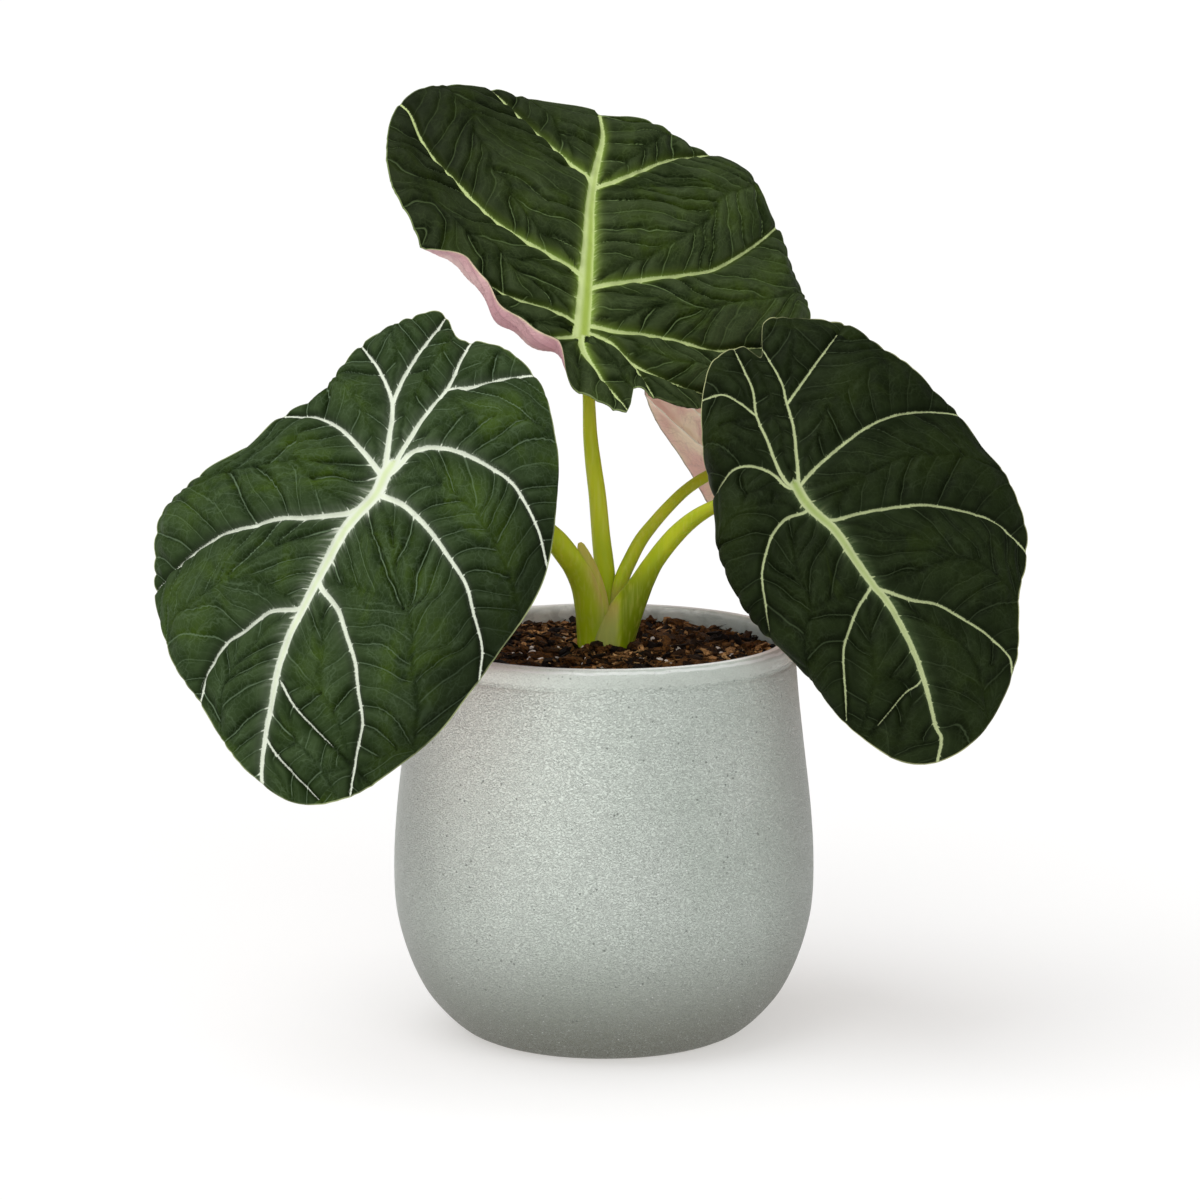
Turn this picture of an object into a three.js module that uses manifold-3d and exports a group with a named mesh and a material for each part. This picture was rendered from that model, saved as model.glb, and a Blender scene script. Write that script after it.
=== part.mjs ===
// Alocasia in a rounded pot: four velvet leaves on curved stalks, soil and pot.
// Millimetres, +Z up, the pot's axis on Z, its foot on z = 0, the open side of the plant towards -Y.
import * as THREE from 'three';
import { mergeVertices } from 'three/addons/utils/BufferGeometryUtils.js';
import Module from 'manifold-3d';

const wasm = await Module();
wasm.setup();

// ---------- driving dimensions ----------
const GAP = 0.3; // air kept between neighbouring pieces

const POT_FOOT_R = 43.5;
const POT_H = 133;
const POT_WALL = 5.6;
const POT_FLOOR = 8;
const POT_SIDES = 48;
// outer side as [height, radius], from the foot to just under the lip
const POT_SIDE = [
  [2.5, 48.6], [8, 54.6], [16, 60.7], [28, 66.0], [42, 69.4], [58, 70.0],
  [76, 68.9], [96, 66.6], [112, 64.8], [122, 63.9], [125.2, 63.2], [127.4, 63.6],
];
const LIP_R = 60.7; // middle of the rounded lip
const LIP_ROUND = 2.8; // half the lip's thickness

const SOIL_EDGE_Z = 127;
const SOIL_RISE = 2.6; // the surface climbs this much towards the crown
const SOIL_BUMP = 1.1;
const CROWN = [1.5, 1]; // where the stalks leave the soil

const RHIZOME = { r: 8, z0: 99, z1: 116 };

const BLADE_THICK = 1.0;
const BLADE_CELLS = 20; // squares along one side of the grid a blade is shaped from

// Each blade is laid out flat round a centre on the midrib, as [angle, radius] with the tip at
// 0 degrees and the notch near 180, then bent: the midrib arches, each half droops, and a
// margin may roll. s runs from the stalk to the tip, t to the side.
const LEAVES = {
  left: {
    at: [-69, -50, 194], azimuth: -146, rise: -55, roll: 16,
    centre: 20, front: 110, back: 60, half: 55,
    arch: 18, lobeArch: 20, fold: 4, droop: [22, 24], notch: -178,
    rim: [
      [-178, 76], [-172, 77], [-165, 78], [-151, 74], [-136, 68], [-113, 61], [-90, 60],
      [-66, 60], [-50, 64], [-38, 71], [-26, 78], [-14, 86], [-3, 90], [8, 86], [25, 78],
      [42, 76], [58, 77], [76, 80], [88, 78], [97, 71], [106, 62], [117, 56], [131, 54],
      [145, 57], [157, 71], [169, 80], [175, 85],
    ],
    rolls: [],
    waves: [[0.9, 9, 0.4], [0.5, 17, 1.9]],
  },
  right: {
    at: [62, -35, 188], azimuth: 137, rise: -53, roll: -29,
    centre: 20, front: 110, back: 60, half: 55,
    arch: 14, lobeArch: 14, fold: 4, droop: [20, 38], notch: -171.5,
    rim: [
      [-171.5, 68], [-168, 81], [-161, 83], [-148, 81], [-138, 76], [-122, 72], [-99, 69],
      [-81, 72], [-65, 70], [-54, 67], [-38, 73], [-24, 78], [-8, 81], [4, 77], [14, 64],
      [26, 52], [40, 45], [60, 41], [91, 39], [111, 40], [128, 42], [144, 47], [157, 53],
      [168, 64], [176, 72], [185, 74],
    ],
    rolls: [{ from: 30, to: 140, fade: 25, width: 18, turn: -85 }],
    waves: [[0.7, 8, 2.2], [0.5, 19, 0.7]],
  },
  top: {
    at: [-7, 2, 236.5], azimuth: 6, rise: 48, roll: -21,
    centre: 20, front: 105, back: 45, half: 55,
    arch: 18, lobeArch: -20, fold: 2, droop: [4, 16], notch: 157,
    rim: [
      [-172, 50], [-160, 50], [-146, 49], [-130, 49], [-112, 51], [-98, 55], [-88, 59],
      [-74, 71], [-61, 81], [-48, 90], [-34, 90], [-18, 83], [2, 79], [14, 85], [26, 87],
      [38, 94], [50, 89], [62, 86], [79, 85], [92, 80], [108, 70], [124, 63], [138, 58],
      [148, 50], [157, 47], [164, 57], [172, 54], [180, 50],
    ],
    rolls: [{ from: -164, to: -108, fade: 16, width: 15, turn: 116 }],
    waves: [[0.8, 9, 1.1], [0.5, 18, 2.6]],
  },
  back: {
    at: [55.3, 56, 180], azimuth: 92, rise: -54, roll: 32,
    centre: 18, front: 90, back: 45, half: 45,
    arch: 22, lobeArch: 12, fold: 4, droop: [30, 15], notch: 180,
    rim: [
      [-172, 56], [-162, 68.5], [-156, 66.5], [-148, 61], [-138, 53.5], [-127, 47.5],
      [-112, 42], [-90, 38], [-60, 42], [-30, 58], [0, 72], [30, 62], [60, 48], [90, 42],
      [115, 46], [135, 54], [150, 62], [162, 60], [172, 52], [180, 40],
    ],
    rolls: [],
    waves: [[0.8, 8, 0.9]],
  },
};

// Stalks from the rhizome upwards as [x, y, z, half width, half thickness, wrap]: wrap is the
// angle in degrees that the section curls through, hollow towards the crown's middle, which
// makes the sheath at the foot. `facing` is the direction the sheath's back looks at its foot.
const STALKS = {
  right: {
    facing: -80,
    rows: [
      [3.4, -7.2, 116.3, 9.2, 1.7, 150], [3.6, -7.4, 130, 9.2, 1.7, 150],
      [6.0, -7.6, 138, 7.4, 1.9, 120], [9.0, -7.2, 145, 5.4, 2.5, 75],
      [12.6, -6.8, 152, 3.9, 3.1, 30], [16.6, -7.6, 159, 3.2, 3.1, 0],
      [23.4, -9.6, 168, 3.0, 3.0, 0], [29.6, -12, 174, 2.6, 2.6, 0],
      [36, -14.5, 178.2, 2.2, 2.2, 0], [50, -20, 184.6, 2.2, 2.2, 0],
    ],
  },
  left: {
    facing: -125,
    rows: [
      [-5.2, -3.5, 116.3, 6.4, 2.2, 140], [-5.2, -3.5, 133, 6.4, 2.2, 140],
      [-5.4, -5.0, 143, 6.6, 2.6, 110], [-6.8, -6.2, 150.6, 5.7, 2.8, 80],
      [-9.4, -7.8, 157, 4.9, 3.1, 45], [-12.8, -10, 162.5, 4.4, 3.6, 10],
      [-16.6, -12.5, 167.5, 3.9, 3.6, 0], [-33, -24, 181.5, 2.9, 2.9, 0],
      [-54, -37.5, 190.5, 2.5, 2.5, 0],
    ],
  },
  top: {
    facing: 90,
    rows: [
      [-0.6, 6.6, 116.3, 3.5, 3.2, 0], [-0.4, 6.8, 131, 3.5, 3.2, 0],
      [0.4, 8.2, 149.5, 3.5, 3.2, 0], [-1.0, 8.8, 165, 3.1, 3.1, 0],
      [-2.2, 9.4, 178.5, 2.9, 2.9, 0], [-3.5, 9.9, 188.5, 2.7, 2.7, 0],
      [-4.5, 10.4, 198, 2.4, 2.4, 0], [-5.1, 10.6, 212, 2.0, 2.0, 0],
      [-6.3, 10.2, 223, 1.9, 1.9, 0],
    ],
  },
  back: {
    facing: 45,
    rows: [
      [5.6, 4.6, 116.3, 2.8, 2.6, 0], [5.2, 4.6, 131, 2.8, 2.6, 0],
      [4.8, 5.0, 143, 2.6, 2.6, 0], [5.9, 5.8, 150.5, 2.5, 2.5, 0],
      [8.9, 8.6, 157, 2.4, 2.4, 0], [12.4, 12, 163, 2.3, 2.3, 0],
      [16.6, 15, 168, 2.1, 2.1, 0], [21.4, 18, 173, 2.0, 2.0, 0],
      [27.4, 22, 178.2, 1.9, 1.9, 0], [34.2, 27, 182, 1.9, 1.9, 0],
      [43, 37, 184, 1.9, 1.9, 0],
    ],
  },
};
const STALK_RINGS = 26;
const STALK_SIDES = 14;

// ---------- helpers ----------
const rad = THREE.MathUtils.degToRad;
const vec = (a) => new THREE.Vector3(...a);
const wrapTo = (a, low) => ((((a - low) % 360) + 360) % 360) + low;
const smooth = (x) => { const k = Math.min(Math.max(x, 0), 1); return k * k * (3 - 2 * k); };

// Distance u along an arc that turns by `rate` radians a millimetre: [forward, sideways].
const arc = (u, rate) => (Math.abs(rate * u) < 1e-6
  ? [u, 0] : [Math.sin(rate * u) / rate, (1 - Math.cos(rate * u)) / rate]);

function solid(positions, faces) {
  const geometry = new THREE.BufferGeometry();
  geometry.setAttribute('position', new THREE.Float32BufferAttribute(positions.flat(), 3));
  geometry.setIndex(faces.flat());
  return geometry;
}

function toManifold(geometry) {
  const plain = geometry.clone();
  plain.deleteAttribute('normal');
  plain.deleteAttribute('uv');
  const merged = mergeVertices(plain, 1e-4);
  return new wasm.Manifold(new wasm.Mesh({
    numProp: 3,
    vertProperties: Float32Array.from(merged.attributes.position.array),
    triVerts: Uint32Array.from(merged.index.array),
  }));
}

function fromManifold(body) {
  const mesh = body.getMesh();
  const geometry = new THREE.BufferGeometry();
  geometry.setAttribute('position', new THREE.BufferAttribute(Float32Array.from(mesh.vertProperties), 3));
  geometry.setIndex(Array.from(mesh.triVerts));
  return geometry;
}

const largest = (body) => body.decompose().sort((a, b) => b.volume() - a.volume())[0];

// ---------- pot and soil ----------
function lathe(profile, sides) {
  return new THREE.LatheGeometry(profile.map(([z, r]) => new THREE.Vector2(r, z)), sides)
    .rotateX(Math.PI / 2);
}

const curvePoints = (points, count) => new THREE.SplineCurve(points.map((p) => new THREE.Vector2(...p)))
  .getPoints(count).map((p) => [p.x, p.y]);

// Inner side of the wall, `inset` millimetres further in, from the floor's edge to the lip.
function innerSide(inset) {
  const wall = POT_SIDE.filter(([z]) => z > 12 && z < 123)
    .map(([z, r]) => [z, r - (z < 30 ? POT_WALL + 1 : POT_WALL) - inset]);
  return curvePoints([[POT_FLOOR + inset, 36 - inset], [POT_FLOOR + 1.5 + inset, 43 - inset],
    ...wall, [SOIL_EDGE_Z, LIP_R - LIP_ROUND - inset]], 11);
}

function pot() {
  const outer = curvePoints([[0.4, POT_FOOT_R + 1.2], ...POT_SIDE], 15);
  const lip = [];
  for (let k = 0; k <= 5; k += 1) {
    const a = (Math.PI * k) / 5;
    lip.push([POT_H - LIP_ROUND + LIP_ROUND * Math.sin(a), LIP_R + LIP_ROUND * Math.cos(a)]);
  }
  const inner = innerSide(0).reverse();
  return lathe([[0, 0], [0, POT_FOOT_R], ...outer, ...lip, ...inner, [POT_FLOOR, 0]], POT_SIDES);
}

// Height of the soil: higher at the crown, lumpy with bark and grit.
function soilHeight(x, y) {
  const r = Math.hypot(x - CROWN[0], y - CROWN[1]);
  const lumps = Math.sin(x * 0.61 + 1.3) * Math.cos(y * 0.53 - 0.4)
    + 0.8 * Math.sin(x * 0.27 - y * 0.71 + 2.1) + 0.6 * Math.sin(x * 1.07 + y * 0.89);
  return SOIL_EDGE_Z + SOIL_RISE * (1 - smooth(r / 48)) + SOIL_BUMP * 0.6 * lumps;
}

function soil(stalks, rhizome) {
  const rings = 11;
  const side = innerSide(GAP + 0.1).slice(0, -1);
  const topR = LIP_R - LIP_ROUND - GAP - 0.4;
  const positions = [[0, 0, side[0][0]]];
  const faces = [];
  const ring = (radius, height) => {
    for (let k = 0; k < POT_SIDES; k += 1) {
      const a = (2 * Math.PI * k) / POT_SIDES;
      const x = radius * Math.cos(a);
      const y = radius * Math.sin(a);
      positions.push([x, y, height === null ? soilHeight(x, y) : height]);
    }
  };
  side.forEach(([z, r]) => ring(r, z));
  for (let k = rings; k > 0; k -= 1) ring((topR * k) / rings, null);
  const count = side.length + rings;
  const last = positions.push([0, 0, soilHeight(0, 0)]) - 1;
  for (let k = 0; k < POT_SIDES; k += 1) {
    const n = (k + 1) % POT_SIDES;
    faces.push([0, 1 + n, 1 + k]);
    for (let j = 0; j < count - 1; j += 1) {
      const a = 1 + j * POT_SIDES;
      faces.push([a + k, a + n, a + POT_SIDES + n], [a + k, a + POT_SIDES + n, a + POT_SIDES + k]);
    }
    const top = 1 + (count - 1) * POT_SIDES;
    faces.push([top + k, top + n, last]);
  }
  const holes = [rhizome, ...stalks].reduce((all, one) => all.add(one));
  return fromManifold(largest(toManifold(solid(positions, faces)).subtract(holes)));
}

// Short upright stem under the surface that carries the stalks.
function rhizome(extra) {
  const { r, z0, z1 } = RHIZOME;
  const profile = [[z0 - extra, 0], [z0 - extra, r * 0.45], [z0 + 4, r * 0.85 + extra],
    [z0 + 9, r + extra], [z1 - 3, r * 0.97 + extra], [z1 + extra, r * 0.8 + extra], [z1 + extra, 0]];
  return lathe(profile, 20).translate(CROWN[0] + 1.5, CROWN[1], 0);
}

// ---------- leaves ----------
function leafFrame(leaf) {
  const [az, el, ro] = [rad(leaf.azimuth), rad(leaf.rise), rad(leaf.roll)];
  const along = vec([Math.cos(el) * Math.sin(az), Math.cos(el) * Math.cos(az), Math.sin(el)]);
  const up = vec([-Math.sin(el) * Math.sin(az), -Math.sin(el) * Math.cos(az), Math.cos(el)]);
  const side = along.clone().cross(up);
  const across = side.clone().multiplyScalar(Math.cos(ro)).addScaledVector(up, Math.sin(ro));
  const normal = up.multiplyScalar(Math.cos(ro)).addScaledVector(side, -Math.sin(ro));
  return { along, across, normal };
}

// Radius of the outline at an angle: a closed smooth curve through the rim's points.
function rimRadius(rim, angle) {
  const n = rim.length;
  const a = wrapTo(angle, rim[0][0]);
  let i = n - 1;
  while (i > 0 && rim[i][0] > a) i -= 1;
  const point = (k) => {
    const turn = Math.floor(k / n);
    return [rim[k - turn * n][0] + 360 * turn, rim[k - turn * n][1]];
  };
  const [p, q, r, s] = [point(i - 1), point(i), point(i + 1), point(i + 2)];
  const h = r[0] - q[0];
  const m0 = (h * (r[1] - p[1])) / (r[0] - p[0]);
  const m1 = (h * (s[1] - q[1])) / (s[0] - q[0]);
  const u = (a - q[0]) / h;
  return (2 * u ** 3 - 3 * u ** 2 + 1) * q[1] + (u ** 3 - 2 * u ** 2 + u) * m0
    + (3 * u ** 2 - 2 * u ** 3) * r[1] + (u ** 3 - u ** 2) * m1;
}

// Point on the bent blade, `lift` millimetres above its middle sheet.
function onBlade(leaf, frame, s, t, lift) {
  const sign = s >= 0 ? 1 : -1;
  const rate = s >= 0 ? rad(leaf.arch) / leaf.front : rad(leaf.lobeArch) / leaf.back;
  const [run, drop] = arc(Math.abs(s), rate);
  const bend = rate * Math.abs(s);
  const normal = frame.normal.clone().multiplyScalar(Math.cos(bend))
    .addScaledVector(frame.along, sign * Math.sin(bend));
  const side = t >= 0 ? 1 : -1;
  const sag = rad(leaf.droop[t >= 0 ? 1 : 0]) / leaf.half;
  const fold = rad(leaf.fold);
  const [out, down] = arc(Math.abs(t), sag);
  const turn = fold - sag * Math.abs(t);
  return vec(leaf.at)
    .addScaledVector(frame.along, sign * run)
    .addScaledVector(frame.normal, -drop)
    .addScaledVector(frame.across,
      side * (out * Math.cos(fold) + down * Math.sin(fold) - lift * Math.sin(turn)))
    .addScaledVector(normal,
      out * Math.sin(fold) - down * Math.cos(fold) + lift * Math.cos(turn));
}

// Point of the blade at `rho` (0 centre to 1 margin) and `angle`, with rolled margins and waves.
function bladePoint(leaf, frame, rho, angle, lift) {
  const full = rimRadius(leaf.rim, angle);
  let r = rho * full;
  let height = lift;
  for (const roll of leaf.rolls) {
    const middle = (roll.from + roll.to) / 2;
    const away = Math.abs(wrapTo(angle - middle, -180));
    const share = smooth(((roll.to - roll.from) / 2 + roll.fade - away) / roll.fade);
    const start = full - roll.width;
    if (r > start && share > 0) {
      const rate = (rad(roll.turn) * share) / roll.width;
      const [run, rise] = arc(r - start, rate);
      const turned = rate * (r - start);
      r = start + run - lift * Math.sin(turned);
      height += rise + lift * (Math.cos(turned) - 1);
    }
  }
  for (const [size, count, phase] of leaf.waves) {
    height += size * rho ** 3 * Math.sin(count * rad(angle) + phase);
  }
  return onBlade(leaf, frame, leaf.centre + r * Math.cos(rad(angle)), r * Math.sin(rad(angle)), height);
}

// A square grid drawn out to a disc keeps the triangles even; both faces share it.
function blade(leaf) {
  const frame = leafFrame(leaf);
  const n = BLADE_CELLS;
  const positions = [];
  const faces = [];
  for (const lift of [BLADE_THICK / 2, -BLADE_THICK / 2]) {
    for (let j = 0; j <= n; j += 1) {
      for (let i = 0; i <= n; i += 1) {
        const x = (2 * i) / n - 1;
        const y = (2 * j) / n - 1;
        const rho = Math.max(Math.abs(x), Math.abs(y));
        let angle = 0;
        if (rho > 0) {
          angle = Math.abs(x) >= Math.abs(y)
            ? 45 * (y / x) + (x < 0 ? 180 : 0) : 90 - 45 * (x / y) + (y < 0 ? 180 : 0);
        }
        const turned = angle + leaf.notch - 180;
        positions.push(bladePoint(leaf, frame, rho, turned, lift).toArray());
      }
    }
  }
  const under = (n + 1) ** 2;
  const id = (i, j) => j * (n + 1) + i;
  for (let j = 0; j < n; j += 1) {
    for (let i = 0; i < n; i += 1) {
      const [a, b, c, d] = [id(i, j), id(i + 1, j), id(i + 1, j + 1), id(i, j + 1)];
      const outward = (i < n / 2) === (j < n / 2);
      const pair = outward ? [[a, b, c], [a, c, d]] : [[a, b, d], [b, c, d]];
      pair.forEach(([p, q, r]) => faces.push([p, r, q], [under + p, under + q, under + r]));
    }
  }
  const border = [];
  for (let k = 0; k < n; k += 1) border.push([k, 0]);
  for (let k = 0; k < n; k += 1) border.push([n, k]);
  for (let k = n; k > 0; k -= 1) border.push([k, n]);
  for (let k = n; k > 0; k -= 1) border.push([0, k]);
  border.forEach((p, k) => {
    const a = id(...p);
    const b = id(...border[(k + 1) % border.length]);
    faces.push([a, b, under + a], [b, under + b, under + a]);
  });
  return solid(positions, faces);
}

// ---------- stalks ----------
// A stalk swept along its rows and ended flat under its blade; `extra` fattens it.
function stalk({ facing, rows }, leaf, extra) {
  const { normal } = leafFrame(leaf);
  const seat = vec(leaf.at).addScaledVector(normal, -(BLADE_THICK / 2 + GAP));
  const neck = seat.clone().addScaledVector(normal, -5);
  const end = rows[rows.length - 1][3];
  const all = [...rows, [...neck.toArray(), end + 0.2, end + 0.2, 0],
    [...seat.toArray(), end + 0.9, end + 0.9, 0]];
  const path = new THREE.CatmullRomCurve3(all.map((row) => vec(row)), false, 'centripetal');
  const out = vec([Math.cos(rad(facing)), Math.sin(rad(facing)), 0]);
  const positions = [];
  const faces = [];
  for (let j = 0; j <= STALK_RINGS; j += 1) {
    const u = j / STALK_RINGS;
    const p = path.getPoint(u);
    let along = path.getTangent(u);
    if (j === 0) along = vec([0, 0, 1]);
    if (j === STALK_RINGS) along = normal;
    out.addScaledVector(along, -out.dot(along)).normalize();
    const side = along.clone().cross(out);
    const k = Math.min(Math.floor(u * (all.length - 1)), all.length - 2);
    const [width, thick, wrap] = [3, 4, 5]
      .map((c) => THREE.MathUtils.lerp(all[k][c], all[k + 1][c], u * (all.length - 1) - k));
    const curl = rad(wrap) / (2 * width);
    for (let i = 0; i < STALK_SIDES; i += 1) {
      const a = (2 * Math.PI * i) / STALK_SIDES;
      const reach = (width + extra) * Math.cos(a);
      const rise = (thick + extra) * Math.sin(a);
      const [x, dip] = arc(reach, curl);
      positions.push(p.clone().addScaledVector(side, x + rise * Math.sin(curl * reach))
        .addScaledVector(out, rise * Math.cos(curl * reach) - dip).toArray());
    }
  }
  for (let i = 0; i < STALK_SIDES; i += 1) {
    const n = (i + 1) % STALK_SIDES;
    for (let j = 0; j < STALK_RINGS; j += 1) {
      const a = j * STALK_SIDES;
      const b = a + STALK_SIDES;
      faces.push([a + i, b + n, a + n], [a + i, b + i, b + n]);
    }
  }
  const top = STALK_RINGS * STALK_SIDES;
  for (let i = 1; i < STALK_SIDES - 1; i += 1) {
    faces.push([0, i, i + 1], [top, top + i + 1, top + i]);
  }
  return toManifold(solid(positions, faces));
}

// ---------- assembly ----------
const COLOURS = { pot: '#aab3ac', soil: '#3a2a20', rhizome: '#7a5a3c', stalk: '#9fb04a', blade: '#2c4a30' };

const group = new THREE.Group();
group.name = 'potted_alocasia';

function addPiece(name, geometry, colour, roughness) {
  const mesh = new THREE.Mesh(geometry, new THREE.MeshStandardMaterial({ color: colour, roughness }));
  mesh.name = name;
  group.add(mesh);
}

addPiece('pot', pot(), COLOURS.pot, 0.45);

const fat = [];
for (const [name, form] of Object.entries(STALKS)) {
  const body = fat.reduce((rest, other) => rest.subtract(other), stalk(form, LEAVES[name], 0));
  addPiece(`stalk_${name}`, fromManifold(largest(body)), COLOURS.stalk, 0.5);
  fat.push(stalk(form, LEAVES[name], GAP));
}
addPiece('rhizome', rhizome(0), COLOURS.rhizome, 0.9);
addPiece('soil', soil(fat, toManifold(rhizome(GAP))), COLOURS.soil, 0.95);

for (const [name, leaf] of Object.entries(LEAVES)) {
  addPiece(`blade_${name}`, blade(leaf), COLOURS.blade, 0.6);
}

export default group;
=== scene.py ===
# %% [markdown]
# # A potted alocasia with velvet leaves
# The plant is already there as plain solids: a pot, soil, a short rhizome, four stalks and
# four blades. This lesson dresses each of them. The solids could only be painted, but leaves
# like these live from their net of veins and their quilted skin, so each piece is modelled
# again over its solid, finer, and the solid is then hidden.

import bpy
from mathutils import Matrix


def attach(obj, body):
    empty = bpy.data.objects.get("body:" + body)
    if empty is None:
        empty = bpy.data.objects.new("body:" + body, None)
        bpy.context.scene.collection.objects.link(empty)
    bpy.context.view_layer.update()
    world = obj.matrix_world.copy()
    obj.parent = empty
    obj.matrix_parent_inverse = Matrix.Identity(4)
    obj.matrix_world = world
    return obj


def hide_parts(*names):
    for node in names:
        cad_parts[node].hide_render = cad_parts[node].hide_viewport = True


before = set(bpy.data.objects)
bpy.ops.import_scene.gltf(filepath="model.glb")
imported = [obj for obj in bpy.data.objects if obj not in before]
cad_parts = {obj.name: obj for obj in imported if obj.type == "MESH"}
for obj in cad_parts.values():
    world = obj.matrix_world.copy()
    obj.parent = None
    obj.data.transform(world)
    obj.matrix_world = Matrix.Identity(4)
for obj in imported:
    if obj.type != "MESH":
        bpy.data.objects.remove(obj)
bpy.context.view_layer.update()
print("solids:", ", ".join(sorted(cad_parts)))

# %% [markdown]
# ## Small tools for meshes
# Nearly every piece below goes through the same few steps: choose it, apply its modifiers, read
# and move its points, keep numbers on them, and close it. They could be typed out each time;
# as named steps they are written once. Lengths are in millimetres until points are moved.

# %% Helpers for meshes
import math

import bpy
import numpy as np

MM = 0.001


def pick_only(obj):
    bpy.ops.object.select_all(action="DESELECT")
    obj.select_set(True)
    bpy.context.view_layer.objects.active = obj


def apply_modifiers(obj):
    pick_only(obj)
    for modifier in list(obj.modifiers):
        bpy.ops.object.modifier_apply(modifier=modifier.name)


def points_of(obj):
    values = np.empty(len(obj.data.vertices) * 3, dtype=np.float32)
    obj.data.vertices.foreach_get("co", values)
    return values.reshape(-1, 3).astype(float)


def move_points(obj, points):
    obj.data.vertices.foreach_set("co", np.asarray(points, dtype=np.float32).ravel())
    obj.data.update()


def store(obj, name, values):
    values = np.asarray(values, dtype=np.float32)
    kind, field = ("FLOAT", "value") if values.ndim == 1 else ("FLOAT_VECTOR", "vector")
    obj.data.attributes.new(name, kind, "POINT").data.foreach_set(field, values.ravel())


def tidy_shell(obj, fill=False):
    """Closes seams and open ends and turns all faces outwards."""
    pick_only(obj)
    bpy.ops.object.mode_set(mode="EDIT")
    bpy.ops.mesh.select_all(action="SELECT")
    bpy.ops.mesh.remove_doubles(threshold=1e-6)
    if fill:
        bpy.ops.mesh.select_all(action="DESELECT")
        bpy.ops.mesh.select_mode(type="EDGE")
        bpy.ops.mesh.select_non_manifold()
        bpy.ops.mesh.fill_holes(sides=0)
        bpy.ops.mesh.select_mode(type="VERT")
        bpy.ops.mesh.select_all(action="SELECT")
    bpy.ops.mesh.normals_make_consistent(inside=False)
    bpy.ops.object.mode_set(mode="OBJECT")


def new_grid(name, cells_x, cells_y):
    """A flat square from -1 to 1, the start of every sheet and tube here."""
    bpy.ops.object.select_all(action="DESELECT")
    bpy.ops.mesh.primitive_grid_add(x_subdivisions=cells_x, y_subdivisions=cells_y, size=2)
    obj = bpy.context.active_object
    obj.name = obj.data.name = name
    return obj


def count_triangles(obj):
    return sum(len(face.vertices) - 2 for face in obj.data.polygons)


# %% [markdown]
# ## Camera, light and floor
# The plant stands on a plain white table under a broad studio light. One soft sun, as wide as
# a large softbox, gives the shapes a lit and a shaded side, and an even white sky fills in. A
# sun reaches the whole floor alike, so the floor stays white far behind the pot.

# %% Camera, light and floor
camera = bpy.data.objects.new("camera", bpy.data.cameras.new("camera"))
bpy.context.collection.objects.link(camera)
camera.location = (-0.0013, -1.5, 0.406)
camera.rotation_euler = (math.radians(90 - 9.88), 0, 0)
camera.data.lens = 138
camera.data.sensor_width = 36
camera.data.clip_end = 100
bpy.context.scene.camera = camera


def add_sun(name, strength, width, tilt_x, tilt_y):
    sun = bpy.data.objects.new(name, bpy.data.lights.new(name, "SUN"))
    bpy.context.collection.objects.link(sun)
    sun.data.energy = strength
    sun.data.angle = math.radians(width)
    sun.rotation_euler = (math.radians(tilt_x), math.radians(tilt_y), 0)


add_sun("overhead softbox", 2.1, 58, 8, -22)
add_sun("front softbox", 1.25, 70, 58, 4)

world = bpy.data.worlds.new("studio")
bpy.context.scene.world = world
world.use_nodes = True
world.node_tree.nodes["Background"].inputs["Color"].default_value = (1, 1, 1, 1)
world.node_tree.nodes["Background"].inputs["Strength"].default_value = 0.24
bpy.context.scene.view_settings.view_transform = "Standard"

bpy.ops.object.select_all(action="DESELECT")
bpy.ops.mesh.primitive_plane_add(size=60, location=(0, 20, 0))
floor = bpy.context.active_object
floor.name = floor.data.name = "floor"
bpy.ops.object.transform_apply(location=True, rotation=True, scale=True)
print("floor", floor.dimensions[:2])

# %% [markdown]
# ## Drawing materials with nodes
# Every finish below is a small graph of shader nodes. Written out in full, that is mostly
# plumbing, so this helper adds a node, fills its inputs with numbers or with other nodes'
# outputs, and hands back its result.


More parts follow.
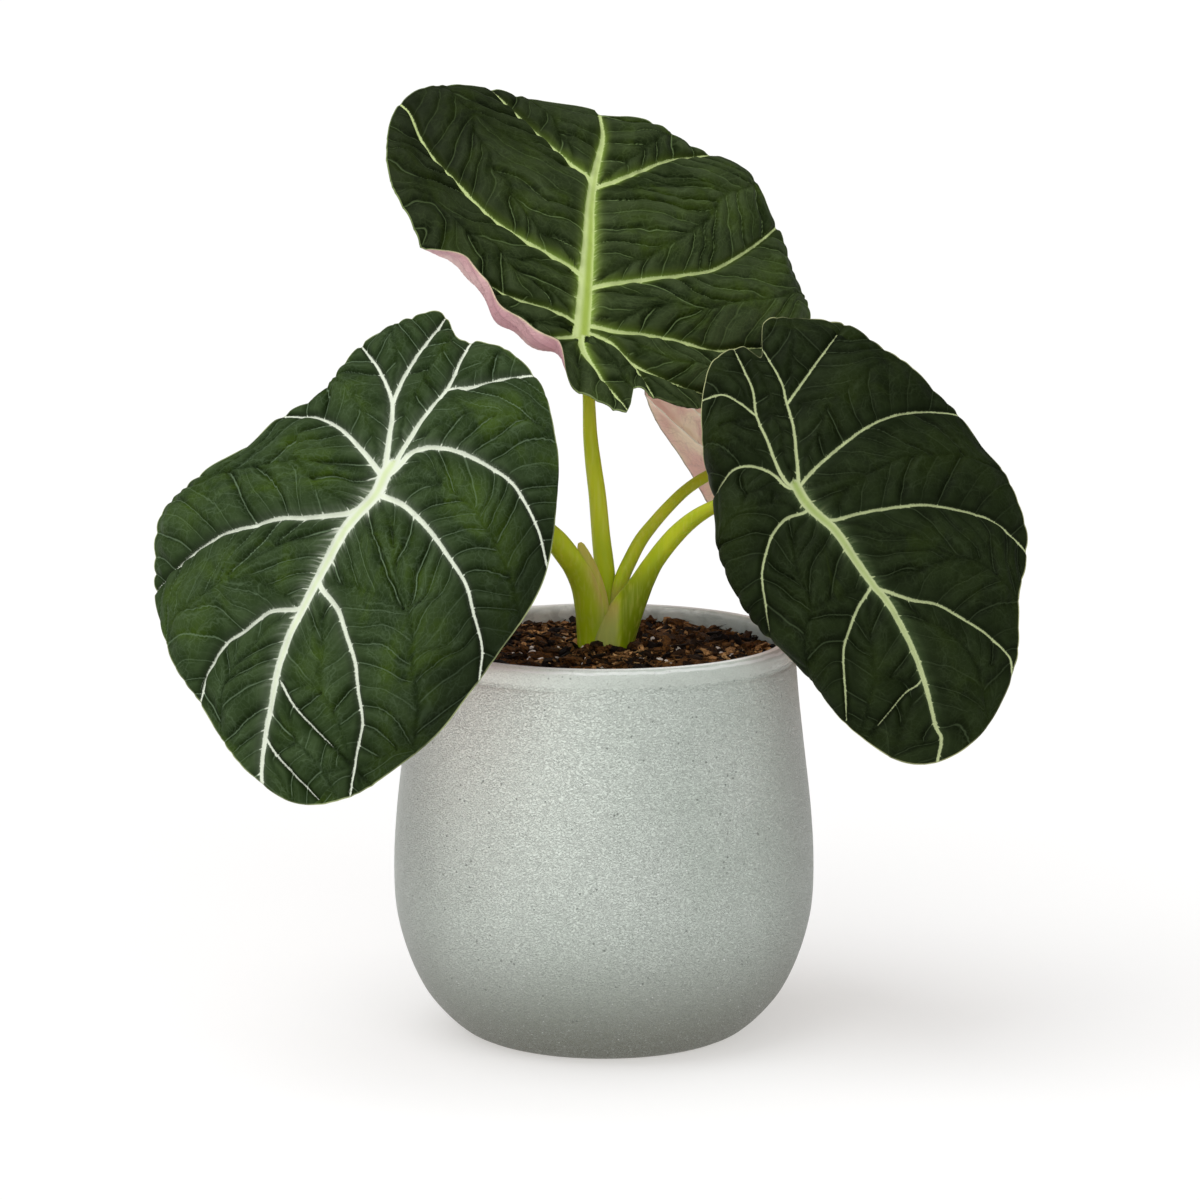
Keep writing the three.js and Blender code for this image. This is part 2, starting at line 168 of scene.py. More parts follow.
# %% A helper for shader graphs
class Graph:
    def __init__(self, tree):
        self.tree = tree

    def add(self, kind, inputs=None, **settings):
        node = self.tree.nodes.new("ShaderNode" + kind)
        for name, value in settings.items():
            setattr(node, name, value)
        for key, value in (inputs or {}).items():
            if isinstance(value, bpy.types.NodeSocket):
                self.tree.links.new(value, node.inputs[key])
            else:
                node.inputs[key].default_value = value
        return node

    def math(self, operation, *values, clamp=False):
        node = self.add("Math", dict(enumerate(values)), operation=operation, use_clamp=clamp)
        return node.outputs[0]

    def times(self, first, *others):
        for other in others:
            first = self.math("MULTIPLY", first, other)
        return first

    def plus(self, first, second):
        return self.math("ADD", first, second)

    def mix(self, share, first, second):
        node = self.add("Mix", data_type="RGBA")
        for index, value in ((0, share), (6, first), (7, second)):
            if isinstance(value, bpy.types.NodeSocket):
                self.tree.links.new(value, node.inputs[index])
            else:
                node.inputs[index].default_value = (*value, 1) if index else value
        return node.outputs[2]

    def span(self, value, low, high, first=0.0, last=1.0):
        """Goes smoothly from first to last while value goes from low to high."""
        keys = {0: value, 1: low, 2: high, 3: first, 4: last}
        return self.add("MapRange", keys, interpolation_type="SMOOTHSTEP").outputs[0]

    def noise(self, vector, scale, detail=3.0, roughness=0.5, distortion=0.0):
        keys = {"Vector": vector, "Scale": scale, "Detail": detail, "Roughness": roughness}
        return self.add("TexNoise", {**keys, "Distortion": distortion}).outputs[0]

    def cells(self, vector, scale, feature="F1"):
        keys = {"Vector": vector, "Scale": scale}
        return self.add("TexVoronoi", keys, feature=feature).outputs[0]

    def attribute(self, name, vector=True):
        node = self.add("Attribute", attribute_name=name)
        return node.outputs["Vector" if vector else "Fac"]

    def parts(self, vector):
        return self.add("SeparateXYZ", {0: vector}).outputs

    def bump(self, height, strength, distance):
        keys = {"Height": height, "Strength": strength, "Distance": distance}
        return self.add("Bump", keys).outputs[0]

    def stretch(self, vector, *factors):
        return self.add("VectorMath", {0: vector, 1: factors}, operation="MULTIPLY").outputs[0]


def new_material(name):
    material = bpy.data.materials.new(name)
    material.use_nodes = True
    shader = material.node_tree.nodes["Principled BSDF"]
    return material, Graph(material.node_tree), shader


def connect(graph, shader, **links):
    for name, value in links.items():
        socket = shader.inputs[name.replace("_", " ")]
        if isinstance(value, bpy.types.NodeSocket):
            graph.tree.links.new(value, socket)
        else:
            socket.default_value = value


floor_white, graph, shader = new_material("floor_white")
connect(graph, shader, Base_Color=(0.5, 0.51, 0.52, 1), Roughness=0.9, Specular_IOR_Level=0.0,
        Emission_Color=(1, 0.972, 0.94, 1), Emission_Strength=0.5)
floor.data.materials.append(floor_white)
print("floor finish:", floor_white.name, len(floor_white.node_tree.nodes), "nodes")

# %% [markdown]
# ## How a blade is bent
# A blade is laid out flat first. Its outline is a list of angles and distances round a centre
# on the midrib, with the tip at 0 degrees and the notch near 180. The flat shape is then bent:
# the midrib arches, each half droops away from it, and a margin may roll over. Sculpting could
# give the same form, but as a rule it can be asked for any point, so the veins can be drawn on
# the flat leaf and follow every bend.

# %% The four blades
# at: where the stalk meets the blade. azimuth, rise and roll: the midrib's heading and the
# blade's turn about it. centre: the outline's, along the midrib. front, back and half: the
# lengths over which the tip bends by arch, the lobes by lobe_arch and each half by its droop.
# rim: angles and radii. waves: height, number and phase of the margin's waves.
LEAVES = {
    "left": {
        "at": (-69, -50, 194), "azimuth": -146, "rise": -55, "roll": 16,
        "centre": 20, "front": 110, "back": 60, "half": 55,
        "arch": 18, "lobe_arch": 20, "fold": 4, "droop": (22, 24), "notch": -178,
        "rim": [
            (-178, 76), (-172, 77), (-165, 78), (-151, 74), (-136, 68), (-113, 61), (-90, 60),
            (-66, 60), (-50, 64), (-38, 71), (-26, 78), (-14, 86), (-3, 90), (8, 86), (25, 78),
            (42, 76), (58, 77), (76, 80), (88, 78), (97, 71), (106, 62), (117, 56), (131, 54),
            (145, 57), (157, 71), (169, 80), (175, 85),
        ],
        "rolls": [], "waves": [(0.9, 9, 0.4), (0.5, 17, 1.9)],
    },
    "right": {
        "at": (62, -35, 188), "azimuth": 137, "rise": -53, "roll": -29,
        "centre": 20, "front": 110, "back": 60, "half": 55,
        "arch": 14, "lobe_arch": 14, "fold": 4, "droop": (20, 38), "notch": -171.5,
        "rim": [
            (-171.5, 68), (-168, 81), (-161, 83), (-148, 81), (-138, 76), (-122, 72), (-99, 69),
            (-81, 72), (-65, 70), (-54, 67), (-38, 73), (-24, 78), (-8, 81), (4, 77), (14, 64),
            (26, 52), (40, 45), (60, 41), (91, 39), (111, 40), (128, 42), (144, 47), (157, 53),
            (168, 64), (176, 72), (185, 74),
        ],
        "rolls": [{"from": 30, "to": 140, "fade": 25, "width": 18, "turn": -85}],
        "waves": [(0.7, 8, 2.2), (0.5, 19, 0.7)],
    },
    "top": {
        "at": (-7, 2, 236.5), "azimuth": 6, "rise": 48, "roll": -21,
        "centre": 20, "front": 105, "back": 45, "half": 55,
        "arch": 18, "lobe_arch": -20, "fold": 2, "droop": (4, 16), "notch": 157,
        "rim": [
            (-172, 50), (-160, 50), (-146, 49), (-130, 49), (-112, 51), (-98, 55), (-88, 59),
            (-74, 71), (-61, 81), (-48, 90), (-34, 90), (-18, 83), (2, 79), (14, 85), (26, 87),
            (38, 94), (50, 89), (62, 86), (79, 85), (92, 80), (108, 70), (124, 63), (138, 58),
            (148, 50), (157, 47), (164, 57), (172, 54), (180, 50),
        ],
        "rolls": [{"from": -164, "to": -108, "fade": 16, "width": 15, "turn": 116}],
        "waves": [(0.8, 9, 1.1), (0.5, 18, 2.6)],
    },
    "back": {
        "at": (55.3, 56, 180), "azimuth": 92, "rise": -54, "roll": 32,
        "centre": 18, "front": 90, "back": 45, "half": 45,
        "arch": 22, "lobe_arch": 12, "fold": 4, "droop": (30, 15), "notch": 180,
        "rim": [
            (-172, 56), (-162, 68.5), (-156, 66.5), (-148, 61), (-138, 53.5), (-127, 47.5),
            (-112, 42), (-90, 38), (-60, 42), (-30, 58), (0, 72), (30, 62), (60, 48), (90, 42),
            (115, 46), (135, 54), (150, 62), (162, 60), (172, 52), (180, 40),
        ],
        "rolls": [], "waves": [(0.8, 8, 0.9)],
    },
}
print(len(LEAVES), "blades")


# %% [markdown]
# Two small rules come first. An arc gives the travel along a curved midrib or half, and the
# rim gives the outline at any angle, as a smooth closed curve through its few points.


# %% Arcs and outline
def smooth(x):
    k = np.clip(x, 0, 1)
    return k * k * (3 - 2 * k)


def arc(u, rate):
    """Forward and sideways travel after a distance u on an arc turning by rate a millimetre."""
    turn = rate * u
    still = np.abs(turn) < 1e-6
    safe = np.where(still, 1.0, rate)
    forward = np.where(still, u, np.sin(turn) / safe)
    return forward, np.where(still, 0.0, (1 - np.cos(turn)) / safe)


def wrap_to(angle, low):
    return (angle - low) % 360 + low


def rim_radius(rim, angle):
    """Radius of the outline at an angle: a closed smooth curve through the rim's points."""
    a = np.array([p[0] for p in rim], float)
    r = np.array([p[1] for p in rim], float)
    a = np.concatenate([[a[-1] - 360], a, a[:2] + 360])
    r = np.concatenate([[r[-1]], r, r[:2]])
    slope = (r[2:] - r[:-2]) / (a[2:] - a[:-2])
    at = wrap_to(angle, rim[0][0])
    i = np.clip(np.searchsorted(a, at, side="right") - 1, 1, len(rim))
    h = a[i + 1] - a[i]
    u = (at - a[i]) / h
    return ((2 * u**3 - 3 * u**2 + 1) * r[i] + (u**3 - 2 * u**2 + u) * h * slope[i - 1]
            + (3 * u**2 - 2 * u**3) * r[i + 1] + (u**3 - u**2) * h * slope[i])


# %% [markdown]
# Then a flat point can be carried: over a rolled margin, which is an arc that starts a fixed
# width inside the rim, and with its half of the leaf to its place in the air. A lattice could
# bend a finished mesh, but it wouldn't say where a vein ends up.


# %% From the flat leaf into the air
def leaf_frame(leaf):
    """The leaf's own directions: along its midrib, across it, and out of its upper face."""
    az, el, ro = (math.radians(leaf[key]) for key in ("azimuth", "rise", "roll"))
    along = np.array([math.cos(el) * math.sin(az), math.cos(el) * math.cos(az), math.sin(el)])
    up = np.array([-math.sin(el) * math.sin(az), -math.sin(el) * math.cos(az), math.cos(el)])
    side = np.cross(along, up)
    across = math.cos(ro) * side + math.sin(ro) * up
    return along, across, math.cos(ro) * up - math.sin(ro) * side


def roll_margin(leaf, rho, angle, lift):
    """Flat place and height for rho (0 centre to 1 margin) and angle, with rolls and waves."""
    full = rim_radius(leaf["rim"], angle)
    r = rho * full
    height = np.array(lift, float)
    for roll in leaf["rolls"]:
        away = np.abs(wrap_to(angle - (roll["from"] + roll["to"]) / 2, -180))
        share = smooth(((roll["to"] - roll["from"]) / 2 + roll["fade"] - away) / roll["fade"])
        start = full - roll["width"]
        rate = math.radians(roll["turn"]) * share / roll["width"]
        run, rise = arc(r - start, rate)
        turned = rate * (r - start)
        on = (r > start) & (share > 0)
        height = np.where(on, height + rise + lift * (np.cos(turned) - 1), height)
        r = np.where(on, start + run - lift * np.sin(turned), r)
    for size, count, phase in leaf["waves"]:
        height = height + size * rho**3 * np.sin(count * np.radians(angle) + phase)
    s = leaf["centre"] + r * np.cos(np.radians(angle))
    return s, r * np.sin(np.radians(angle)), height, full


def on_blade(leaf, s, t, lift):
    """The bent blade's point for flat s and t, lifted off its middle sheet, in millimetres."""
    along, across, normal = leaf_frame(leaf)
    ahead = np.where(s >= 0, 1.0, -1.0)
    rate = np.where(s >= 0, math.radians(leaf["arch"]) / leaf["front"],
                    math.radians(leaf["lobe_arch"]) / leaf["back"])
    run, drop = arc(np.abs(s), rate)
    bend = rate * np.abs(s)
    up = np.cos(bend)[:, None] * normal + (ahead * np.sin(bend))[:, None] * along
    side = np.where(t >= 0, 1.0, -1.0)
    sag = np.radians(np.where(t >= 0, leaf["droop"][1], leaf["droop"][0])) / leaf["half"]
    fold = math.radians(leaf["fold"])
    out, down = arc(np.abs(t), sag)
    turn = fold - sag * np.abs(t)
    sideways = side * (out * math.cos(fold) + down * math.sin(fold) - lift * np.sin(turn))
    upwards = out * math.sin(fold) - down * math.cos(fold) + lift * np.cos(turn)
    return (np.array(leaf["at"], float) + (ahead * run)[:, None] * along
            - drop[:, None] * normal + sideways[:, None] * across + upwards[:, None] * up)


tips = {name: on_blade(leaf, np.array([110.0]), np.array([0.0]), np.array([0.0]))[0].round()
        for name, leaf in LEAVES.items()}
print("blade tips (mm):", {name: tip.tolist() for name, tip in tips.items()})

# %% [markdown]
# ## The net of veins
# The stalk meets the blade at a pale hub. A strong midrib runs to the tip, side veins curve to
# the margin, and two run back into the lobes and fork. They are drawn here as lines on the
# flat leaf. The first number of each is a channel: veins that meet are on different ones, so
# that each keeps its own exact distance where they join. Then come the half widths at its
# start and end in millimetres.

# %% Main veins
VEINS = {
    "left": [
        (0, 2.2, 0.5, [(-4, 0), (0, 1), (8, 2), (20, 7), (36, 10), (47, 12), (60, 14), (72, 14),
                       (83, 13), (93, 12), (103, 10), (109, 8)]),
        (1, 1.05, 0.3, [(1.5, 0.8), (-1, 4), (-6, 11), (-12, 21), (-15, 31), (-14, 38)]),
        (2, 1.15, 0.28, [(1, 1), (-4, 2), (-12, 4), (-25, 8), (-36, 17), (-43, 25)]),
        (0, 0.72, 0.4, [(-25, 8), (-37, 8), (-49, 7), (-58, 6)]),
        (1, 1.15, 0.3, [(0.5, 0.3), (-4, -1), (-11, -2), (-23, -4), (-35, -7), (-47, -7),
                        (-58, -7)]),
        (0, 0.72, 0.4, [(-35, -7), (-38, -15), (-43, -22), (-48, -32)]),
        (2, 1.08, 0.26, [(0.5, 0.3), (-4, -2.5), (-10, -6), (-13, -13), (-13, -22), (-11, -32),
                         (-8, -40), (-2, -47), (6, -54), (14, -59)]),
        (1, 1.08, 0.24, [(4, 1.5), (7, 0), (9, -9), (15, -20), (22, -29), (29, -37), (37, -42),
                         (47, -48), (56, -50)]),
        (1, 1.02, 0.24, [(12, 4), (16, 9), (20, 21), (22, 31), (26, 39), (30, 49), (37, 58),
                         (45, 66), (51, 70)]),
        (2, 0.84, 0.24, [(47, 12), (50, 14), (53, 23), (60, 29), (66, 35), (74, 38), (79, 39),
                         (85, 39)]),
        (2, 0.9, 0.24, [(39, 10.5), (42, 8), (47, 1), (55, -5), (62, -10), (71, -14), (80, -18),
                        (90, -19), (101, -20)]),
        (1, 0.36, 0.16, [(74, 12), (76, 10), (79, 7), (82, 3), (86, -4)]),
        (2, 0.32, 0.16, [(92, 12), (94, 10), (97, 6), (100, 1), (103, -4)]),
    ],
    "right": [
        (0, 1.7, 0.42, [(-1, 0), (1, 0), (8, -1), (18, -5), (30, -7), (40, -9), (47, -11),
                        (58, -12), (68, -12), (78, -11), (89, -9), (94, -9), (100, -5)]),
        (1, 0.6, 0.25, [(1, 0), (-3, -2), (-11, -5), (-19, -8), (-28, -10), (-36, -12),
                        (-44, -12)]),
        (0, 0.43, 0.26, [(-28, -10), (-34, -19), (-42, -31)]),
        (2, 0.6, 0.25, [(1, 0), (-2, 2.2), (-8, 3), (-18, 2), (-28, 1), (-37, -2), (-47, -3)]),
        (0, 0.39, 0.23, [(-28, 1), (-34, 4), (-39, 8), (-40, 13)]),
        (1, 0.55, 0.25, [(1.5, 0), (-1, 3), (-6, 5), (-10, 8), (-13, 13), (-13, 18), (-11, 23)]),
        (1, 0.54, 0.23, [(7, -0.7), (9, 1), (9, 8), (12, 14), (16, 18), (23, 23), (32, 26)]),
        (2, 0.5, 0.23, [(37, -8.3), (40, -8), (45, -1), (51, 5), (56, 9), (63, 12), (69, 14)]),
        (2, 0.57, 0.23, [(1, -0.2), (-1, -3.5), (-4, -10), (-8, -21), (-11, -32), (-12, -43),
                         (-11, -53), (-8, -62), (-6, -66)]),
        (1, 0.57, 0.26, [(12, -2.5), (15, -6), (16, -15), (18, -26), (21, -38), (26, -49),
                         (31, -57), (36, -61), (44, -65)]),
        (1, 0.54, 0.26, [(41, -9.5), (44, -13), (49, -19), (53, -26), (60, -32), (68, -38),
                         (77, -42), (82, -41)]),
        (2, 0.25, 0.11, [(73, -12), (75, -9), (76, -4), (79, 2)]),
    ],
    "top": [
        (0, 2.9, 0.5, [(-5, 0), (-1, 0), (6, 0), (18, 0), (36, 0), (51, 0), (65, 1), (79, 3),
                       (88, 4), (98, 3)]),
        (1, 1.0, 0.35, [(62, 0.5), (65, -1), (70, -8), (79, -17), (87, -25), (94, -32)]),
        (2, 0.98, 0.3, [(18, 0), (21, -3), (24, -11), (28, -22), (35, -34), (46, -45), (55, -53),
                        (65, -59), (75, -63), (79, -66)]),
        (1, 0.7, 0.27, [(-2, 0), (0, -2), (2, -10), (3, -19), (4, -27), (6, -32)]),
        (2, 0.7, 0.31, [(-5, -1), (-8, -7), (-11, -15), (-10, -19)]),
        (0, 1.3, 0.3, [(-4, 0), (-9, 0.5), (-14, 3), (-22, 8), (-29, 13)]),
        (1, 0.95, 0.31, [(59, 0.5), (62, 3), (68, 11), (77, 20), (87, 30), (97, 44)]),
        (2, 0.95, 0.28, [(13, 0), (16, 3), (21, 13), (26, 23), (31, 33), (38, 44), (49, 54),
                         (63, 64), (73, 70)]),
        (1, 0.86, 0.31, [(-2, 0.5), (0, 3), (0, 12), (2, 23), (3, 33), (4, 45), (10, 58)]),
        (2, 0.7, 0.25, [(-3, 0), (-3, 4), (-5, 10), (-11, 18), (-14, 28), (-15, 36), (-15, 43)]),
        (1, 0.47, 0.23, [(-11, 18), (-18, 23)]),
    ],
    "back": [
        (0, 1.84, 0.56, [(-4, 0), (10, 0), (30, 1), (50, 1), (70, 0), (88, 0)]),
        (1, 0.72, 0.32, [(-2, 1), (-14, 5), (-27, 9), (-38, 11)]),
        (2, 0.72, 0.32, [(-2, -1), (-14, -6), (-26, -10), (-38, -13)]),
        (0, 0.48, 0.24, [(-14, 5), (-22, 14), (-26, 24)]),
        (0, 0.5, 0.26, [(-6, -2.5), (-10, -11), (-16, -21), (-26, -24.5), (-38, -25.3),
                        (-50, -26)]),
        (2, 0.72, 0.32, [(1, 2), (4, 12), (10, 23), (16, 33), (22, 40)]),
        (1, 0.72, 0.32, [(1, -2), (3, -11), (7, -22), (13, -31), (18, -38)]),
        (1, 0.68, 0.28, [(24, 1), (30, 12), (38, 22), (48, 31), (55, 36)]),
        (2, 0.68, 0.28, [(22, 0), (28, -10), (35, -20), (45, -29), (52, -33)]),
        (2, 0.56, 0.24, [(50, 1), (57, 9), (65, 16), (74, 21)]),
        (1, 0.56, 0.24, [(48, 1), (54, -8), (62, -15), (72, -20)]),
    ],
}
print({name: len(veins) for name, veins in VEINS.items()}, "main veins")

# %% [markdown]
# ## Ribs between the veins
# From both sides of every main vein finer ribs leave at a slant and bend towards the margin,
# where they meet those of the next vein in a soft valley. Drawing hundreds by hand would be
# slow. Instead each point of the blade asks for its nearest main vein, its distance from it
# and how far along it lies. Distance along, pulled back by the slant, numbers the ribs, and a
# whole number means "on a rib".


# %% Distances to the veins
def trace(points, steps=8):
    """A smooth line through the points."""
    p = np.array(points, float)
    e = np.vstack([2 * p[0] - p[1], p, 2 * p[-1] - p[-2]])
    u = np.linspace(0, 1, steps, endpoint=False)[:, None]
    rows = [0.5 * (2 * b + (c - a) * u + (2 * a - 5 * b + 4 * c - d) * u**2
                   + (3 * b - a - 3 * c + d) * u**3)
            for a, b, c, d in zip(e[:-3], e[1:-2], e[2:-1], e[3:])]
    return np.vstack([*rows, p[-1:]])


def nearest_on_line(line, s, t):
    """Unsigned distance, side and length along for the nearest point of a line."""
    step = np.diff(line, axis=0)
    length = np.hypot(*step.T)
    start = np.concatenate([[0], np.cumsum(length)[:-1]])
    best = np.full(len(s), 1e9)
    side = np.ones(len(s))
    along = np.zeros(len(s))
    for (a, b), (ds, dt), size, begun in zip(line[:-1], step, length, start):
        u = np.clip(((s - a) * ds + (t - b) * dt) / size**2, 0, 1)
        off_s, off_t = s - a - u * ds, t - b - u * dt
        gap = np.hypot(off_s, off_t)
        closer = gap < best
        best = np.where(closer, gap, best)
        side = np.where(closer, np.sign(ds * off_t - dt * off_s + 1e-12), side)
        along = np.where(closer, begun + u * size, along)
    return best, side, along


# %% [markdown]
# Every vein is asked in turn, and each point keeps what it learned: its distance to the veins
# of each channel, which rib it lies near, and how far it is from the seam between two veins.

# %% What each point knows of the veins
FAR = 50.0  # stands for a distance with no vein
TIP_REACH = 30  # a vein's line runs on past its end, so that the ribs there keep their order
TIP_FADE = 9  # and its width is gone after this much of it
FLIP_ZONE = 1.8


def chance(number, seed):
    """A fixed random share from 0 to 1 for each whole number."""
    wave = np.sin(np.rint(number) * 12.9898 + seed * 78.233) * 43758.5453
    return wave - np.floor(wave)


def vein_fields(veins, s, t, look):
    """Everything the relief and the shader need to know about the veins at each point."""
    n = len(s)
    offset, half, rival = np.full((n, 3), FAR), np.zeros((n, 3)), np.full((n, 3), FAR)
    first, second, gap_of = np.full(n, 1e9), np.full(n, 1e9), np.full(n, 1e9)
    phase, width, spacing, strength = np.zeros(n), np.zeros(n), np.ones(n), np.zeros(n)
    for k, (channel, start, end, points) in enumerate(veins):
        line = trace(points)
        true_length = np.hypot(*np.diff(line, axis=0).T).sum()
        ahead = line[-1] - line[-3]
        line = np.vstack([line, line[-1] + ahead / np.hypot(*ahead) * TIP_REACH])
        gap, side, along = nearest_on_line(line, s, t)
        w = start + (end - start) * np.clip(along / true_length, 0, 1) ** (1 if k == 0 else 0.75)
        w = w * np.clip(1 - (along - true_length) / TIP_FADE, 0, 1)
        w = np.where((along <= 0) & (gap > w), 0, w)
        held = np.abs(offset[:, channel])
        rival[:, channel] = np.where(gap < held, held, np.minimum(rival[:, channel], gap))
        mine = gap < held
        offset[mine, channel] = (gap * side)[mine]
        half[mine, channel] = np.where(gap < TIP_FADE, w, 0)[mine]

        run = np.array(points[-1], float) - np.array(points[0], float)
        tipward = 0.5 - 0.5 * side * run[1] / np.hypot(*run)
        slant, bow = (look["midrib"] if k == 0 else
                      [a + (b - a) * tipward for a, b in zip(look["base_side"], look["tip_side"])])
        pitch = look["rib_gap"] * np.sqrt(1 + slant**2)
        root = along - slant * gap - bow * gap**2
        number = root / pitch + 0.47 * (side > 0) + 0.31 * k
        number = number + 0.16 * np.sin(root / 4.3 + 2 * k + 3 * (side > 0))
        claim = gap * (look["hold"] if k == 0 else 1)  # ribs of the midrib reach further
        closer = claim < first
        second = np.where(closer, first, np.minimum(second, claim))
        phase = np.where(closer, number, phase)
        width = np.where(closer, w, width)
        spacing = np.where(closer, pitch / np.sqrt(1 + (slant + 2 * bow * gap) ** 2), spacing)
        strength = np.where(closer, 0.25 + 0.75 * chance(number, k + 0.5 * side), strength)
        gap_of = np.minimum(gap_of, gap)
        first = np.minimum(first, claim)
    # where two veins of one channel are as near as each other, their sides flip: leave both out
    flips = (rival - np.abs(offset) < FLIP_ZONE) & (np.abs(offset) > half + 0.2)
    half = np.where(flips, 0, half)
    return {"offset": offset, "half": half, "gap": gap_of, "phase": phase, "width": width,
            "seam": second - first, "spacing": spacing, "strength": strength}


def ripple(seed, s, t, size):
    """Gentle random waves about size millimetres long, between about -1 and 1."""
    rng = np.random.default_rng(seed)
    total = np.zeros(len(s))
    for _ in range(7):
        turn, phase = rng.uniform(0, 2 * math.pi, 2)
        pace = 2 * math.pi / (size * rng.uniform(0.7, 1.5))
        total += np.sin(pace * (s * math.cos(turn) + t * math.sin(turn)) + phase)
    return total / 4


# %% [markdown]
# ## Building a blade
# A flat grid gets its thickness from Solidify while it is still a square slab, and then every
# vertex is carried to its place: the square is drawn out to the leaf's outline, the relief is
# added, and the sheet is bent. The slab's own height tells the upper face from the lower one.
# Veins lie sunken above and stand out below, ribs are shallow grooves, and the skin swells
# between them. The numbers that the shader needs are kept on the vertices.


# %% The square drawn out to a leaf
def square_to_disc(x, y):
    """Ring share and angle in degrees for a point of the square from -1 to 1."""
    rho = np.maximum(np.abs(x), np.abs(y))
    wide = np.abs(x) >= np.abs(y)
    with np.errstate(divide="ignore", invalid="ignore"):
        flat = 45 * y / x + np.where(x < 0, 180, 0)
        steep = 90 - 45 * x / y + np.where(y < 0, 180, 0)
    return rho, np.nan_to_num(np.where(wide, flat, steep))


# cells: of the grid. quilt: height of the skin between ribs. panel: of a field between veins.
# hold: the lower, the further the midrib's ribs reach. wander: how much ribs stray, broadly
# and finely. Then the slant and bow of the midrib's ribs, and of either side of other veins.
BLADE_LOOK = {
    "left": {"cells": 218, "rib_gap": 6.2, "quilt": 2.8, "panel": 2.4, "seed": 3,
             "hold": 0.62, "wander": (1.0, 0.2),
             "midrib": (0.7, 0.006), "base_side": (0.15, 0.012), "tip_side": (0.85, 0.012)},
    "right": {"cells": 218, "rib_gap": 6.6, "quilt": 2.1, "panel": 1.8, "seed": 5,
              "hold": 0.62, "wander": (1.0, 0.2),
              "midrib": (0.6, 0.006), "base_side": (0.15, 0.012), "tip_side": (0.8, 0.012)},
    "top": {"cells": 218, "rib_gap": 7.0, "quilt": 2.7, "panel": 2.2, "seed": 8,
            "hold": 0.42, "wander": (1.6, 0.4),
            "midrib": (0.1, 0.004), "base_side": (0.9, 0.02), "tip_side": (0.5, 0.03)},
    "back": {"cells": 110, "rib_gap": 6.4, "quilt": 0.7, "panel": 0.8, "seed": 9,
             "hold": 0.62, "wander": (0.9, 0.1),
             "midrib": (0.5, 0.006), "base_side": (0.3, 0.01), "tip_side": (0.6, 0.01)},
}
print("quilting (mm):", {name: look["quilt"] for name, look in BLADE_LOOK.items()})

# %% [markdown]
# The relief is the sum of what the skin does: it swells between the ribs, whole fields swell
# between the main veins, it sinks beside a vein, lies in pleats along a rolled margin, and is
# never quite even. Every part of it dies away at the margin, which stays thin and clean.

# %% Relief of the skin
ROLL_FADE = 12  # degrees
PLEAT_GAP = 3.8
MARGIN_THICK, INNER_THICK = 0.3, 0.5  # half of the sheet's thickness


def rolled_share(leaf, angle, edge):
    """1 on a margin that is rolled up, 0 on the flat blade."""
    share = np.zeros(len(angle))
    for roll in [roll for roll in leaf["rolls"] if roll["turn"] > 0]:
        away = np.abs(wrap_to(angle - (roll["from"] + roll["to"]) / 2, -180))
        share = smooth(((roll["to"] - roll["from"]) / 2 + ROLL_FADE - away) / ROLL_FADE)
        share = share * smooth((roll["width"] + 2 - edge) / 6)
    return share


def skin_relief(look, s, t, edge, veins, ribs, rolled):
    """How far each point swells between its ribs, and its height over the smooth sheet."""
    w, seed = veins["width"], look["seed"]
    across = np.abs(np.sin(math.pi * ribs["phase"])) ** 0.85
    swell = 1 - ribs["strength"] * (1 - across)
    swell = np.minimum(swell, 0.45 + 0.55 * np.clip(ribs["seam"] / 3.5, 0, 1) ** 0.6)
    swell = swell * smooth((veins["gap"] - w) / 2.2 + 0.25)
    along = 0.67 * s - 0.74 * t  # the rolled margin runs this way, and its pleats nearly so
    turn = 2 * math.pi * (edge + 0.3 * along) / PLEAT_GAP + 0.9 * ripple(seed + 7, s, t, 15)
    pleat = np.sin(turn + 0.8 * np.sin(turn))
    swell = swell * (1 - rolled) + (0.4 + 0.35 * pleat) * rolled
    quilt = look["quilt"] * (swell - 0.4) * (0.45 + 0.55 * smooth(edge / 7)) * (1 - 0.4 * rolled)
    quilt = quilt + 1.0 * rolled * ripple(seed + 6, s, t, 13)
    panel = look["panel"] * smooth(veins["gap"] / 15) * smooth(edge / 9)
    groove = -(0.2 + 0.22 * w) * np.exp(-((veins["gap"] / (w + 1.2)) ** 2))
    lumps = 0.4 * ripple(seed + 2, s, t, 24) + 0.16 * ripple(seed + 3, s, t, 7)
    return swell, quilt + panel + groove + lumps * smooth(edge / 5)


def vein_ridge(w, gap, share):
    """A rounded ridge on a vein of half width w, as wide as share says."""
    return w * np.clip(1 - (gap / np.maximum(share * w, 0.1)) ** 2, 0, 1)


# %% [markdown]
# Now the blade can be made: the slab, its outline, what its points know, the relief, the bend.
# The veins lie straight, while the ribs are asked for at places that wander a little.


# %% Blade builder
SLAB_THICKNESS = 0.2  # only tells the faces apart, and is replaced by the real thickness
BROAD, FINE = 20, 7  # lengths of the waves in which the ribs wander


